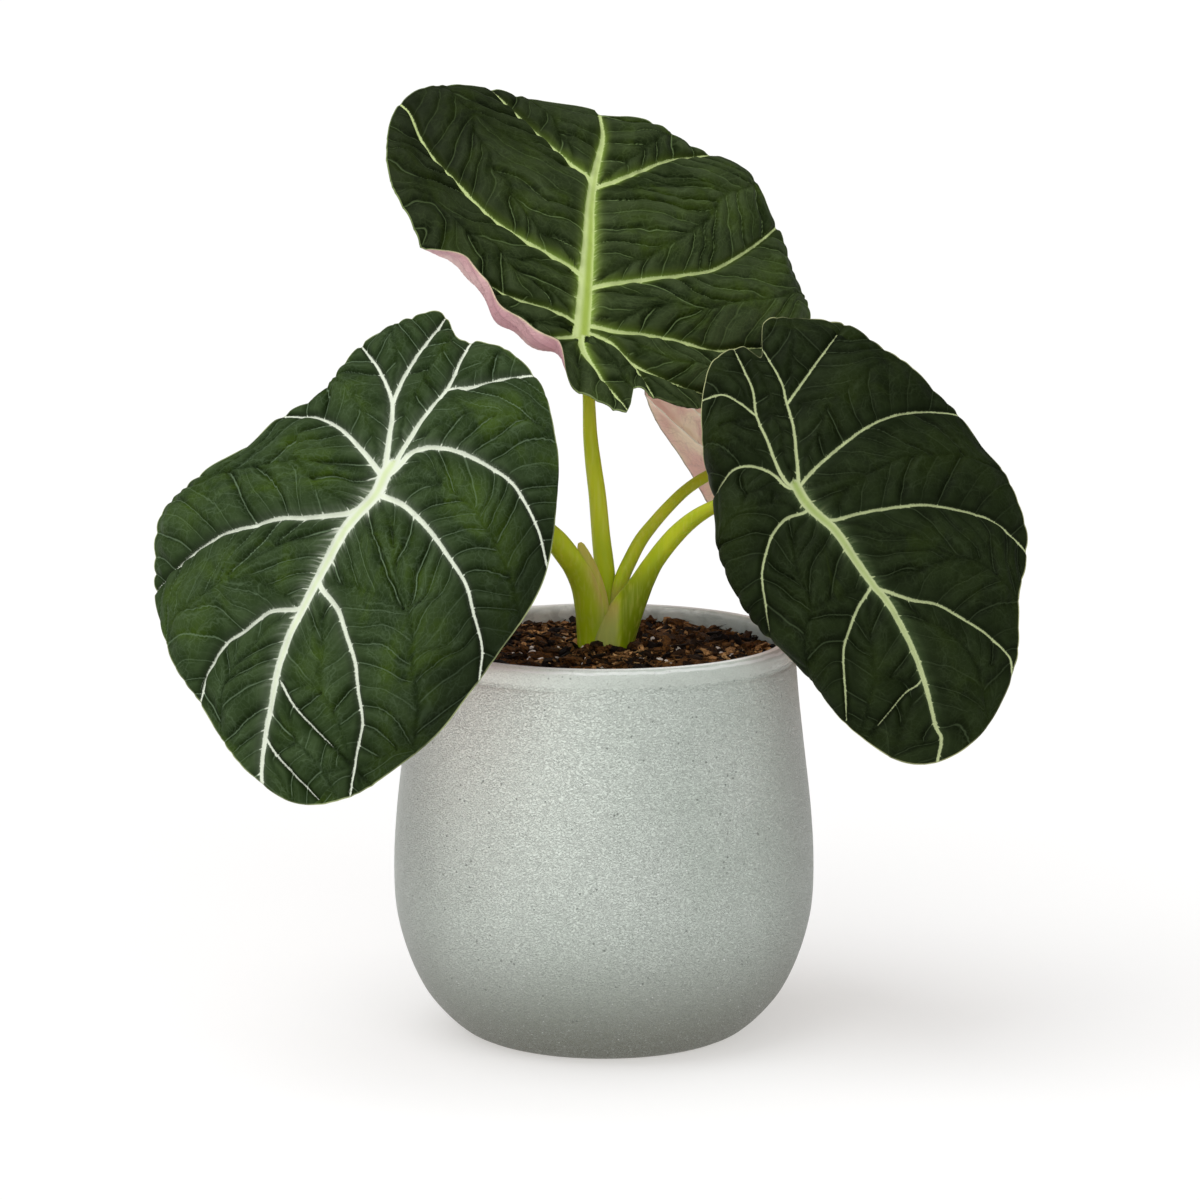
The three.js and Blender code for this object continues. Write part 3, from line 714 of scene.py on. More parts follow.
def build_blade(name, materials):
    """The upper face gets the first of the two materials and the lower face the second."""
    leaf, look = LEAVES[name], BLADE_LOOK[name]
    blade = new_grid("blade_" + name + "_velvet", look["cells"], look["cells"])
    for face_material in materials:
        blade.data.materials.append(face_material)
    slab = blade.modifiers.new("slab", "SOLIDIFY")
    slab.thickness, slab.offset, slab.material_offset = SLAB_THICKNESS, 0, 1
    apply_modifiers(blade)

    x, y, z = points_of(blade).T
    rho, angle = square_to_disc(x, -y)
    angle = wrap_to(angle + leaf["notch"] - 180, -180)
    s, t, _, full = roll_margin(leaf, rho, angle, np.zeros(len(x)))
    (far, near), seed = look["wander"], look["seed"]
    s_warp = s + far * ripple(seed, s, t, BROAD) + near * ripple(seed + 4, s, t, FINE)
    t_warp = t + far * ripple(seed + 1, s, t, BROAD) + near * ripple(seed + 5, s, t, FINE)
    veins = vein_fields(VEINS[name], s, t, look)
    ribs = vein_fields(VEINS[name], s_warp, t_warp, look)
    edge = (1 - rho) * full
    rolled = rolled_share(leaf, angle, edge)
    swell, relief = skin_relief(look, s, t, edge, veins, ribs, rolled)
    w, gap = veins["width"], veins["gap"]
    bead = 0.28 * vein_ridge(w, gap, 1)
    keel = 0.75 * vein_ridge(w, gap, 1.5) * (1 - rolled)
    thick = MARGIN_THICK + (INNER_THICK - MARGIN_THICK) * smooth(edge / 4)
    lift = np.where(z > 0, relief + bead + thick, relief - thick - keel)

    s, t, height, _ = roll_margin(leaf, rho, angle, lift)
    move_points(blade, on_blade(leaf, s, t, height) * MM)

    store(blade, "vein_offset", veins["offset"])
    store(blade, "vein_half", veins["half"] * (1 - rolled)[:, None])
    store(blade, "rib", np.column_stack([ribs["phase"], smooth(ribs["seam"] / 2.5), swell]))
    store(blade, "crease", np.column_stack([ribs["strength"] * (1 - rolled), ribs["spacing"], w]))
    store(blade, "flat", np.column_stack([s, t, edge]))
    pick_only(blade)
    bpy.ops.object.shade_smooth()
    print(blade.name, count_triangles(blade), "triangles")
    return blade


# %% [markdown]
# ## The vein pattern as a node group
# All four blades show the same pattern in different colours, so it is one node group with
# named inputs and outputs. From the stored distances it draws the veins with crisp edges and
# a greener core, the short barbs where ribs spring from them, the hair-like haze and the pale
# halo beside them, the faint ribs, and a fine net. Its inputs set how long the barbs and how
# strong the haze are, how far the halo reaches, and where the core lies and how wide it is.
#
# Three channels of distances are drawn in turn, and the nearest vein wins: past is how far a
# point lies outside it, and inner how far from its middle.


# %% Veins, their cores and halos
NO_VEIN = 60.0  # added to the distance where a channel's vein has no width


def main_vein_masks(g, given):
    """Distance past the nearest vein, and masks of its core, its halo and the hairs beside it."""
    offsets = g.parts(g.attribute("vein_offset"))
    halves = g.parts(g.attribute("vein_half"))
    beyond, core, halo, fur = None, None, None, None
    for offset, half in zip(offsets, halves):
        away = g.math("ABSOLUTE", offset)
        none = g.times(g.math("LESS_THAN", half, 0.02), NO_VEIN)
        past = g.plus(g.math("SUBTRACT", away, half), none)
        inner = g.math("DIVIDE", offset, g.math("MAXIMUM", half, 0.05))
        inner = g.math("ABSOLUTE", g.math("SUBTRACT", inner, given["Core shift"]))
        inner = g.math("DIVIDE", inner, g.math("MAXIMUM", given["Core width"], 0.1))
        middle = g.times(g.span(inner, 0.1, 1.0, 1, 0), g.span(half, 0.4, 2.3))
        fall = g.times(g.math("MULTIPLY_ADD", half, -0.35, -0.6), given["Glow reach"])
        glow = g.math("EXPONENT", g.math("DIVIDE", g.math("MAXIMUM", past, 0.0), fall))
        glow = g.times(glow, g.span(half, 0.08, 1.0))
        furry = g.times(glow, g.span(half, 0.8, 1.8, 0.3, 1))
        beyond = past if beyond is None else g.math("MINIMUM", beyond, past)
        core = middle if core is None else g.math("MAXIMUM", core, middle)
        halo = glow if halo is None else g.math("MAXIMUM", halo, glow)
        fur = furry if fur is None else g.math("MAXIMUM", fur, furry)
    return beyond, core, halo, fur


# %% [markdown]
# A rib runs where its number is whole, so the distance to it is a ping-pong of that number.
# Barbs are the ribs' roots, thick at the vein and tapering. The net is the borders of warped
# cells, coarse ones that follow the ribs and fine crooked ones.


# %% Vein pattern group
BARB_HALF = 0.26  # half width of a barb at its root, in millimetres
HAIRS = 5.5  # hairs to each rib
NET_CELLS, FINE_NET_CELLS = 1.3, 0.45  # to a rib's step, and to a millimetre


def build_vein_pattern():
    tree = bpy.data.node_groups.new("vein pattern", "ShaderNodeTree")
    for label in ("Barb length", "Haze", "Glow reach", "Core shift", "Core width"):
        tree.interface.new_socket(label, in_out="INPUT", socket_type="NodeSocketFloat")
    for label in ("Vein", "Core", "Halo", "Rib", "Swell", "Net", "Streak", "Away"):
        tree.interface.new_socket(label, in_out="OUTPUT", socket_type="NodeSocketFloat")
    g = Graph(tree)
    given = tree.nodes.new("NodeGroupInput").outputs
    beyond, core, halo, fur = main_vein_masks(g, given)
    flat = g.attribute("flat")
    rib = g.parts(g.attribute("rib"))
    crease = g.parts(g.attribute("crease"))
    outside = g.math("MAXIMUM", beyond, 0.0)
    to_rib = g.times(g.math("PINGPONG", rib[0], 0.5), crease[1])
    strength = g.plus(g.times(crease[0], 0.9), 0.25)
    length = g.times(g.plus(crease[2], 0.25), given["Barb length"], strength)
    length = g.math("MAXIMUM", length, 0.05)
    taper = g.math("SUBTRACT", 1.0, g.math("DIVIDE", outside, length), clamp=True)
    edge = g.math("SUBTRACT", to_rib, g.times(taper, BARB_HALF))
    barb = g.times(g.span(edge, -0.12, 0.14, 1, 0), g.span(taper, 0.0, 0.4, 0, 0.95))
    hairs = g.add("CombineXYZ", {0: g.times(rib[0], HAIRS), 1: g.times(outside, 0.09)})
    streak = g.noise(hairs.outputs[0], 1.0, 2, 0.6)
    hair = g.times(g.span(streak, 0.46, 0.66), g.math("POWER", fur, 1.4), given["Haze"])
    ragged = g.times(g.math("SUBTRACT", g.noise(flat, 1.3, 3, 0.6), 0.5), 0.6)
    body = g.span(g.plus(beyond, ragged), -0.16, 0.2, 1, 0)
    vein = g.math("MAXIMUM", body, g.math("MAXIMUM", barb, hair), clamp=True)
    line = g.span(to_rib, 0.05, 0.26, 1, 0)
    line = g.times(line, crease[0], g.span(rib[1], 0.0, 1.0))
    scales = g.add("CombineXYZ", {0: rib[0], 1: g.math("DIVIDE", outside, 8.0)})
    wobble = g.add("TexNoise", {"Vector": flat, "Scale": 0.3}).outputs[1]
    wander = g.stretch(wobble, 0.5, 0.5, 0.0)
    warped = g.add("VectorMath", {0: scales.outputs[0], 1: wander}, operation="ADD").outputs[0]
    net = g.span(g.cells(warped, NET_CELLS, "DISTANCE_TO_EDGE"), 0.0, 0.05, 1, 0)
    crooked = g.add("VectorMath", {0: flat, 1: wobble}, operation="ADD").outputs[0]
    fine_net = g.cells(crooked, FINE_NET_CELLS, "DISTANCE_TO_EDGE")
    fine_net = g.span(fine_net, 0.0, 0.09, 0.6, 0)
    net = g.times(g.math("MAXIMUM", net, fine_net), g.span(outside, 1.0, 6.0))
    out = tree.nodes.new("NodeGroupOutput")
    results = {"Vein": vein, "Core": core, "Halo": halo, "Rib": line, "Swell": rib[2],
               "Net": net, "Streak": streak, "Away": g.span(outside, 1.5, 11.0)}
    for label, value in results.items():
        tree.links.new(value, out.inputs[label])
    return tree


vein_pattern = build_vein_pattern()
print("vein pattern:", len(vein_pattern.nodes), "nodes")

# %% [markdown]
# ## Velvet
# The upper skin is matt and very dark, and its tiny cells catch a blue-grey sheen at grazing
# angles. The green is patched, a painted sheen lightens the skin where it swells, painted shade
# darkens its valleys, and fine pale ribs and an even finer net cross it. Underneath the leaf is
# dull pink with paler veins.

# %% Colours of the velvet
# Colours from the skin's depths to the rim, one of them a painted sheen where the skin swells;
# then how long the barbs are, and how strongly each part of the pattern shows. reach, shift and
# wide place the halo and the core. The last entry is painted shade over one side of a blade:
# its direction along s and t, where it begins and ends, and how deep.
VELVET = {
    "left": {"dark": (0.012, 0.025, 0.005), "light": (0.046, 0.084, 0.005),
             "painted_sheen": (0.044, 0.072, 0.026), "vein": (0.74, 0.79, 0.66),
             "core": (0.56, 0.70, 0.24), "rib": (0.18, 0.26, 0.15),
             "glow": (0.46, 0.58, 0.38), "edge": (0.40, 0.46, 0.22),
             "barb": 1.1, "haze": 0.9, "halo": 0.32, "reach": 1.05,
             "centre": 0.55, "shift": 0.0, "wide": 0.75, "streak": 0.06, "line": 0.65, "net": 0.15,
             "painted_shade": (0.25, -1, 26, 75, 0.78)},
    # the right blade's colours are darker than the left's: partly its own tone, partly painted
    # shade for a blade turned from the light
    "right": {"dark": (0.0045, 0.008, 0.0015), "light": (0.015, 0.025, 0.003),
              "painted_sheen": (0.017, 0.027, 0.008), "vein": (0.44, 0.50, 0.26),
              "core": (0.23, 0.33, 0.05), "rib": (0.06, 0.085, 0.04),
              "glow": (0.16, 0.24, 0.10), "edge": (0.46, 0.48, 0.24),
              "barb": 0.8, "haze": 0.4, "halo": 0.4, "reach": 1.0,
              "centre": 0.9, "shift": 0.0, "wide": 0.9, "streak": 0.04, "line": 0.55, "net": 0.15,
              "painted_shade": (0, -1, 10, 70, 0.2)},
    "top": {"dark": (0.007, 0.014, 0.0015), "light": (0.037, 0.063, 0.004),
            "painted_sheen": (0.051, 0.072, 0.028), "vein": (0.54, 0.64, 0.28),
            "core": (0.31, 0.42, 0.06), "rib": (0.16, 0.23, 0.09),
            "glow": (0.30, 0.44, 0.08), "edge": (0.20, 0.26, 0.10),
            "barb": 0.55, "haze": 0.5, "halo": 0.78, "reach": 0.85,
            "centre": 0.9, "shift": 0.35, "wide": 0.9, "streak": 0.07, "line": 0.8, "net": 0.12,
            "painted_shade": (0.4, -1, 10, 90, 0.6)},
    "back": {"dark": (0.010, 0.017, 0.005), "light": (0.022, 0.034, 0.010),
             "painted_sheen": (0.03, 0.045, 0.02), "vein": (0.46, 0.56, 0.28),
             "core": (0.40, 0.56, 0.18), "rib": (0.08, 0.11, 0.05),
             "glow": (0.16, 0.24, 0.10), "edge": (0.24, 0.28, 0.14),
             "barb": 0.9, "haze": 0.5, "halo": 0.3, "reach": 1.0,
             "centre": 0.7, "shift": 0.0, "wide": 1.0, "streak": 0.1, "line": 0.4, "net": 0.2,
             "painted_shade": (0, 1, 10, 70, 0.2)},
}
# painted shade: in the valleys of the skin, and over one side of a blade
PAINTED_VALLEY_SHADE, PAINTED_SHADE_GREEN = (0.004, 0.007, 0.001), (0.002, 0.003, 0.001)
print("velvets:", ", ".join(VELVET))

# %% [markdown]
# The finish is laid on in thin coats, as a painter would: green in patches, a painted sheen
# where the skin swells, grain, painted shade in the valleys, ribs and net, halo, painted shade
# on one side, and last the veins and the rim.


# %% Velvet
def velvet(name, look):
    material, g, shader = new_material("velvet_" + name)
    pattern = g.add("Group", {}, node_tree=vein_pattern)
    for label, key in (("Barb length", "barb"), ("Haze", "haze"), ("Glow reach", "reach"),
                       ("Core shift", "shift"), ("Core width", "wide")):
        pattern.inputs[label].default_value = look[key]
    out = pattern.outputs
    flat = g.attribute("flat")
    patches = g.span(g.noise(flat, 0.055, 3, 0.55, 0.6), 0.38, 0.66)
    green = g.mix(g.times(patches, out["Away"]), look["dark"], look["light"])
    # painted sheen: a paler grey-green laid on in patches where the skin swells
    painted_sheen_share = g.span(g.noise(flat, 0.09, 3), 0.3, 0.7, 0.25, 0.85)
    painted_sheen_share = g.times(g.span(out["Swell"], 0.35, 1.0), painted_sheen_share)
    green = g.mix(painted_sheen_share, green, look["painted_sheen"])
    grain = g.noise(flat, 2.2, 4, 0.65)
    green = g.mix(g.times(grain, 0.35), green, look["dark"])
    green = g.mix(g.span(out["Streak"], 0.25, 0.48, 2 * look["streak"], 0), green, look["dark"])
    # painted shade in the valleys, along the creases and beside the veins, where the skin lies low
    green = g.mix(g.span(out["Swell"], 0.1, 0.6, 0.5, 0), green, PAINTED_VALLEY_SHADE)
    green = g.mix(g.span(out["Streak"], 0.52, 0.75, 0, look["streak"]), green, look["rib"])
    green = g.mix(g.times(out["Net"], look["net"]), green, look["rib"])
    green = g.mix(g.times(out["Rib"], look["line"]), green, look["rib"])
    green = g.mix(g.times(out["Halo"], look["halo"]), green, look["glow"])
    # painted shade over one side of the blade, the side turned from the light
    towards_s, towards_t, begin, end, depth = look["painted_shade"]
    place = g.parts(flat)
    slope = g.math("MULTIPLY_ADD", place[0], towards_s, g.times(place[1], towards_t))
    green = g.mix(g.span(slope, begin, end, 0, depth), green, PAINTED_SHADE_GREEN)
    pale = g.mix(g.times(out["Core"], look["centre"]), look["vein"], look["core"])
    colour = g.mix(out["Vein"], green, pale)
    worn = g.span(g.noise(flat, 0.04), 0.35, 0.6)
    rim_line = g.times(g.span(place[2], 0.1, 0.5, 1, 0), worn)
    colour = g.mix(rim_line, colour, look["edge"])
    lines = g.math("MULTIPLY_ADD", out["Rib"], 0.5, g.times(out["Net"], 0.3))
    height = g.math("SUBTRACT", g.times(g.noise(flat, 4.5, 3, 0.6), 0.25), lines)
    rough = g.plus(g.times(grain, 0.2), 0.45)
    connect(g, shader, Base_Color=colour, Roughness=rough, Normal=g.bump(height, 0.5, 0.0004),
            Specular_IOR_Level=0.04, Sheen_Weight=0.012, Sheen_Roughness=0.4,
            Sheen_Tint=(0.75, 0.82, 0.74, 1))
    return material


# %% [markdown]
# The underside shares the pattern, drawn more softly: pink in two tones, painted shade in mauve
# in its valleys, paler on the ribs and palest on the veins. That of the back leaf is creamier,
# partly its own tone and partly painted light that lifts it out of the shade it lies in.


# %% Underside
def underside(name, pink_low, pink_high, vein, edge, share):
    material, g, shader = new_material("underside_" + name)
    pattern = g.add("Group", {"Barb length": 0.6}, node_tree=vein_pattern).outputs
    flat = g.attribute("flat")
    pink = g.mix(g.span(g.noise(flat, 0.06, 3), 0.35, 0.65), pink_low, pink_high)
    pink = g.mix(g.times(pattern["Rib"], 0.15), pink, (0.66, 0.50, 0.44))
    pink = g.mix(g.times(pattern["Net"], 0.2), pink, (0.40, 0.22, 0.24))
    # painted shade: a darker mauve where the skin lies low, in its valleys and pleats
    pink = g.mix(g.span(pattern["Swell"], 0.03, 0.25, 0.38, 0), pink, (0.36, 0.17, 0.19))
    colour = g.mix(g.span(pattern["Vein"], 0.3, 0.7, 0, share), pink, vein)
    colour = g.mix(g.span(g.parts(flat)[2], 0.2, 0.9, 0.7, 0), colour, edge)
    connect(g, shader, Base_Color=colour, Roughness=0.55, Specular_IOR_Level=0.35,
            Normal=g.bump(pattern["Net"], 0.4, 0.0005))
    return material


pink = underside("pink", (0.56, 0.30, 0.33), (0.72, 0.48, 0.46), vein=(0.88, 0.78, 0.62),
                 edge=(0.66, 0.56, 0.36), share=0.55)
# the cream underside: partly the back leaf's own paler tone, partly painted light against its
# shade
cream_and_painted_light = underside("cream_and_painted_light", (0.90, 0.57, 0.48), (0.98, 0.80, 0.58), vein=(1.0, 0.94, 0.76),
                  edge=(0.12, 0.13, 0.07), share=0.9)
print("undersides:", pink.name, cream_and_painted_light.name)

# %% [markdown]
# Each blade is now made, with its own velvet above and one of the undersides below.

# %% Dress the blades
blades = {}
for name in LEAVES:
    upper, lower = velvet(name, VELVET[name]), cream_and_painted_light if name == "back" else pink
    blades[name] = build_blade(name, [upper, lower])

# %% [markdown]
# ## Stalks
# Each leaf rides on one fleshy stalk. At its foot the stalk widens into a sheath, a crescent
# that wraps the crown, and higher up it is round. A plain bevelled curve can't change its
# section like that, so a flat grid is rolled up round a guide line instead: one direction of
# the grid runs round the section, the other along the stalk.

# %% The stalks' guide lines
# x, y, z of the line, half width and half thickness of the section, and how far it curls.
STALKS = {
    "right": (-80, [
        (3.4, -7.2, 116.3, 9.2, 1.7, 150), (3.6, -7.4, 130, 9.2, 1.7, 150),
        (6, -7.6, 138, 7.4, 1.9, 120), (9, -7.2, 145, 5.4, 2.5, 75),
        (12.6, -6.8, 152, 3.9, 3.1, 30), (16.6, -7.6, 159, 3.2, 3.1, 0),
        (23.4, -9.6, 168, 3, 3, 0), (29.6, -12, 174, 2.6, 2.6, 0),
        (36, -14.5, 178.2, 2.2, 2.2, 0), (50, -20, 184.6, 2.2, 2.2, 0),
    ]),
    "left": (-125, [
        (-5.2, -3.5, 116.3, 6.4, 2.2, 140), (-5.2, -3.5, 133, 6.4, 2.2, 140),
        (-5.4, -5, 143, 6.6, 2.6, 110), (-6.8, -6.2, 150.6, 5.7, 2.8, 80),
        (-9.4, -7.8, 157, 4.9, 3.1, 45), (-12.8, -10, 162.5, 4.4, 3.6, 10),
        (-16.6, -12.5, 167.5, 3.9, 3.6, 0), (-33, -24, 181.5, 2.9, 2.9, 0),
        (-54, -37.5, 190.5, 2.5, 2.5, 0),
    ]),
    "top": (90, [
        (-0.6, 6.6, 116.3, 3.5, 3.2, 0), (-0.4, 6.8, 131, 3.5, 3.2, 0),
        (0.4, 8.2, 149.5, 3.5, 3.2, 0), (-1, 8.8, 165, 3.1, 3.1, 0),
        (-2.2, 9.4, 178.5, 2.9, 2.9, 0), (-3.5, 9.9, 188.5, 2.7, 2.7, 0),
        (-4.5, 10.4, 198, 2.4, 2.4, 0), (-5.1, 10.6, 212, 2, 2, 0),
        (-6.3, 10.2, 223, 1.9, 1.9, 0),
    ]),
    "back": (45, [
        (5.6, 4.6, 116.3, 2.8, 2.6, 0), (5.2, 4.6, 131, 2.8, 2.6, 0),
        (4.8, 5, 143, 2.6, 2.6, 0), (5.9, 5.8, 150.5, 2.5, 2.5, 0),
        (8.9, 8.6, 157, 2.4, 2.4, 0), (12.4, 12, 163, 2.3, 2.3, 0),
        (16.6, 15, 168, 2.1, 2.1, 0), (21.4, 18, 173, 2, 2, 0),
        (27.4, 22, 178.2, 1.9, 1.9, 0), (34.2, 27, 182, 1.9, 1.9, 0),
        (43, 37, 184, 1.9, 1.9, 0),
    ]),
}


def guide_line(points, shares):
    """Points and directions at shares 0..1 on an even-handed smooth curve."""
    p = np.array(points, float)
    e = np.vstack([2 * p[0] - p[1], p, 2 * p[-1] - p[-2]])
    at = np.clip(np.asarray(shares) * (len(p) - 1), 0, len(p) - 1 - 1e-9)
    i = at.astype(int)
    u = (at - i)[:, None]
    a, b, c, d = e[i], e[i + 1], e[i + 2], e[i + 3]
    spans = ((b, a), (c, b), (d, c))
    k0, k1, k2 = (np.linalg.norm(q - r, axis=1)[:, None] ** 0.5 for q, r in spans)
    m0 = ((b - a) / k0 - (c - a) / (k0 + k1) + (c - b) / k1) * k1
    m1 = ((c - b) / k1 - (d - b) / (k1 + k2) + (d - c) / k2) * k1
    c2, c3 = 3 * (c - b) - 2 * m0 - m1, 2 * (b - c) + m0 + m1
    heading = m0 + 2 * c2 * u + 3 * c3 * u**2
    return b + m0 * u + c2 * u**2 + c3 * u**3, heading / np.linalg.norm(heading, axis=1)[:, None]


# %% [markdown]
# The thin margins of the sheaths dry first and turn from green to a dull pink. On the left
# sheath that is a line down its front, on the right one a side, and the back stalk is pink
# where it leaves the crown. Each point of a stalk is given its share of that blush.

# %% Blush of the sheaths
# the dried margin of the left sheath: x, y, z and half width
MARGIN = [
    (-8.0, -10.0, 165.6, 0.6), (-7.6, -10.0, 164.6, 1.3), (-6.8, -9.9, 162.6, 1.75),
    (-5.6, -9.6, 160.4, 1.8), (-4.0, -9.1, 157.6, 1.6), (-2.4, -8.6, 154.1, 1.45),
    (-1.2, -8.1, 150.7, 1.4), (-0.3, -7.6, 147.6, 1.35), (0.4, -7.2, 144.7, 1.2),
    (0.8, -6.9, 141.8, 0.9), (0.9, -6.6, 139.5, 0.3),
]


def blush(name, points):
    """How far each point of a stalk has turned from green to the dull pink of a sheath margin."""
    x, y, z = points.T
    if name == "left":
        rail = np.array(MARGIN)
        off = np.abs(x - np.interp(z, rail[::-1, 2], rail[::-1, 0]))
        return np.exp(-((off / 2.6) ** 2)) * smooth((162 - z) / 8) * (y < -3)
    if name == "right":
        ridge = 4.6 + 0.05 * np.clip(z - 130, 0, 20)
        return smooth((ridge + 0.5 - x) / 1.6) * smooth((148 - z) / 5)
    if name == "back":
        return 0.7 * smooth((152 - z) / 8)
    return np.zeros(len(x))


# %% [markdown]
# The section is carried along the guide line without twisting, curled into a crescent at the
# foot and round above, and ends flat under its blade. The blush, and how deeply the crown shades
# each point of the right stalk, which is painted on as shade, are kept on the vertices for the
# finish.

# %% Stalk builder
STALK_RINGS, STALK_SIDES = 150, 44
END_DEPTH, END_RUN = 1.3, 5.5  # the end's place under the blade and its last straight stretch


def carry(heading, facing):
    """Directions out of the back of the section, starting at facing degrees, never twisted."""
    out = np.array([math.cos(math.radians(facing)), math.sin(math.radians(facing)), 0])
    backs = []
    for ahead in heading:
        out = out - out.dot(ahead) * ahead
        out = out / np.linalg.norm(out)
        backs.append(out)
    return np.array(backs)


def build_stalk(name, material):
    facing, rows = STALKS[name]
    _, _, normal = leaf_frame(LEAVES[name])
    under = np.array(LEAVES[name]["at"]) - END_DEPTH * normal
    end = rows[-1][3]
    rows = [*rows, (*(under - END_RUN * normal), end + 0.2, end + 0.2, 0),
            (*under, end + 0.9, end + 0.9, 0)]
    table = np.array(rows, float)
    shares = np.linspace(0, 1, STALK_RINGS + 1)
    line, heading = guide_line(table[:, :3], shares)
    heading[0] = (0, 0, 1)
    heading[-1] = normal
    row = shares * (len(rows) - 1)
    width, thick, wrap = (np.interp(row, range(len(rows)), table[:, c]) for c in (3, 4, 5))
    backs = carry(heading, facing)

    stalk = new_grid("stalk_" + name + "_flesh", STALK_SIDES, STALK_RINGS)
    stalk.data.materials.append(material)
    x, y, _ = points_of(stalk).T
    j = np.rint((y + 1) / 2 * STALK_RINGS).astype(int)
    turn = (x + 1) * math.pi
    curl = np.radians(wrap[j]) / (2 * width[j])
    reach = width[j] * np.cos(turn)
    rise = thick[j] * np.sin(turn) * (1 + 0.02 * np.sin(5 * turn))
    run, dip = arc(reach, curl)
    sideways = run + rise * np.sin(curl * reach)
    outward = rise * np.cos(curl * reach) - dip
    side = np.cross(heading[j], backs[j])
    points = line[j] + sideways[:, None] * side + outward[:, None] * backs[j]
    move_points(stalk, points * MM)
    store(stalk, "blush", blush(name, points))
    x, _, z = points.T
    # painted shade of the crown on the right stalk, stored for the finish
    store(stalk, "painted_crown_shade", smooth((164 - z) / 16) * smooth((x - 4.6) / 2) * (name == "right"))
    tidy_shell(stalk, fill=True)
    bpy.ops.object.shade_smooth()
    print(stalk.name, count_triangles(stalk), "triangles")
    return stalk


# %% [markdown]
# ## Stalk finish
# The stalks are smooth, waxy and yellow-green, a darker green lower down, and painted shade
# makes the right stalk deeper green where the crown shades it. Fine lines run along them. The
# margins of the sheaths have dried to a dull pink that fades into the green. A little light goes
# through the flesh, so it gets a shallow subsurface glow.

# %% Stalk finish
stalk_green, g, shader = new_material("stalk_green")
place = g.add("TexCoord").outputs["Object"]
level = g.span(g.parts(place)[2], 0.128, 0.172)
colour = g.mix(level, (0.32, 0.45, 0.001), (0.46, 0.53, 0.02))
along = g.stretch(place, 1, 1, 0.3)
blotch = g.span(g.noise(along, 160, 3), 0.35, 0.7)
colour = g.mix(g.times(blotch, 0.5), colour, (0.30, 0.40, 0.012))
# painted shade: the right stalk turns deeper green where the crown shades it
painted_crown_shade = g.times(g.attribute("painted_crown_shade", vector=False), 0.68)
colour = g.mix(painted_crown_shade, colour, (0.10, 0.15, 0.003))
dull = g.mix(g.span(g.parts(place)[2], 0.135, 0.149), (0.34, 0.39, 0.09), (0.44, 0.34, 0.09))
colour = g.mix(g.attribute("blush", vector=False), colour, dull)
streaks = g.noise(g.stretch(place, 900, 900, 60), 1.0, 2)
colour = g.mix(g.span(streaks, 0.45, 0.7, 0, 0.25), colour, (0.55, 0.58, 0.12))
connect(g, shader, Base_Color=colour, Roughness=0.4, Specular_IOR_Level=0.14,
        Subsurface_Weight=0.15, Subsurface_Scale=0.002, Normal=g.bump(streaks, 0.2, 0.0003))
stalks = {name: build_stalk(name, stalk_green) for name in STALKS}

# %% [markdown]
# The dried margin of the left sheath stands free and ends in a tip. It could be part of the
# stalk's own section, but it is far thinner, so it is lofted as a flat strip of its own.

# %% The free margin of the left sheath
MARGIN_RINGS, MARGIN_SIDES = 60, 16
MARGIN_FACING = (0.35, -0.94, 0)
rail = np.array(MARGIN)
line, heading = guide_line(rail[:, :3], np.linspace(0, 1, MARGIN_RINGS + 1))
row = np.linspace(0, len(rail) - 1, MARGIN_RINGS + 1)
half = np.interp(row, range(len(rail)), rail[:, 3])
margin = new_grid("stalk_left_margin", MARGIN_SIDES, MARGIN_RINGS)
margin.data.materials.append(stalk_green)
x, y, _ = points_of(margin).T
j, turn = np.rint((y + 1) / 2 * MARGIN_RINGS).astype(int), (x + 1) * math.pi
side = np.cross(heading, MARGIN_FACING)
side /= np.linalg.norm(side, axis=1)[:, None]
out = np.cross(side, heading)
body = line[j] + (half[j] * np.cos(turn))[:, None] * side[j]
body = body + (0.55 * np.sin(turn) * half[j] ** 0.5)[:, None] * out[j]
move_points(margin, body * MM)
store(margin, "blush", 0.7 - 0.3 * np.cos(turn) * smooth((162 - body[:, 2]) / 6))
tidy_shell(margin, fill=True)
bpy.ops.object.shade_smooth()
print(margin.name, count_triangles(margin), "triangles")

# %% [markdown]
# ## The pot
# The pot is thrown on a wheel: a round belly on a small foot, drawn in to a rolled lip. The
# same is done here. A single point is extruded along the profile, outside up, over the lip and
# down inside, and the profile is spun round the axis.

# %% Pot
POT_SIDE = [
    (0, 43.5), (0.4, 44.7), (2.5, 48.6), (8, 54.6), (16, 60.7), (28, 66.0), (42, 69.4),
    (58, 70.0), (76, 68.9), (96, 66.6), (112, 64.8), (121, 64.0), (124.6, 63.55), (125.6, 63.15),
    (126.3, 63.2), (127.4, 63.5),
]
LIP_Z, LIP_R, LIP_ROUND, LIP_STEPS = 130.2, 60.7, 2.8, 12
WALL_LOW, WALL_HIGH, WALL_CHANGE = 6.6, 5.6, 30  # thicker under this height


def even_steps(points, steps):
    return [tuple(p) for p in trace(points, steps)]


def pot_profile():
    outer = [(0, 0), *even_steps(POT_SIDE[:2], 1), *even_steps(POT_SIDE[1:], 5)[1:]]
    turns = [math.pi * k / LIP_STEPS for k in range(LIP_STEPS + 1)]
    lip = [(LIP_Z + LIP_ROUND * math.sin(a), LIP_R + LIP_ROUND * math.cos(a)) for a in turns]
    wall = [(z, r - (WALL_LOW if z < WALL_CHANGE else WALL_HIGH))
            for z, r in POT_SIDE if 12 < z < 123]
    inner = even_steps([(8, 36), (9.5, 43), *wall, (127, LIP_R - LIP_ROUND)], 4)[::-1]
    return [*outer, *lip, *inner, (8, 0)]


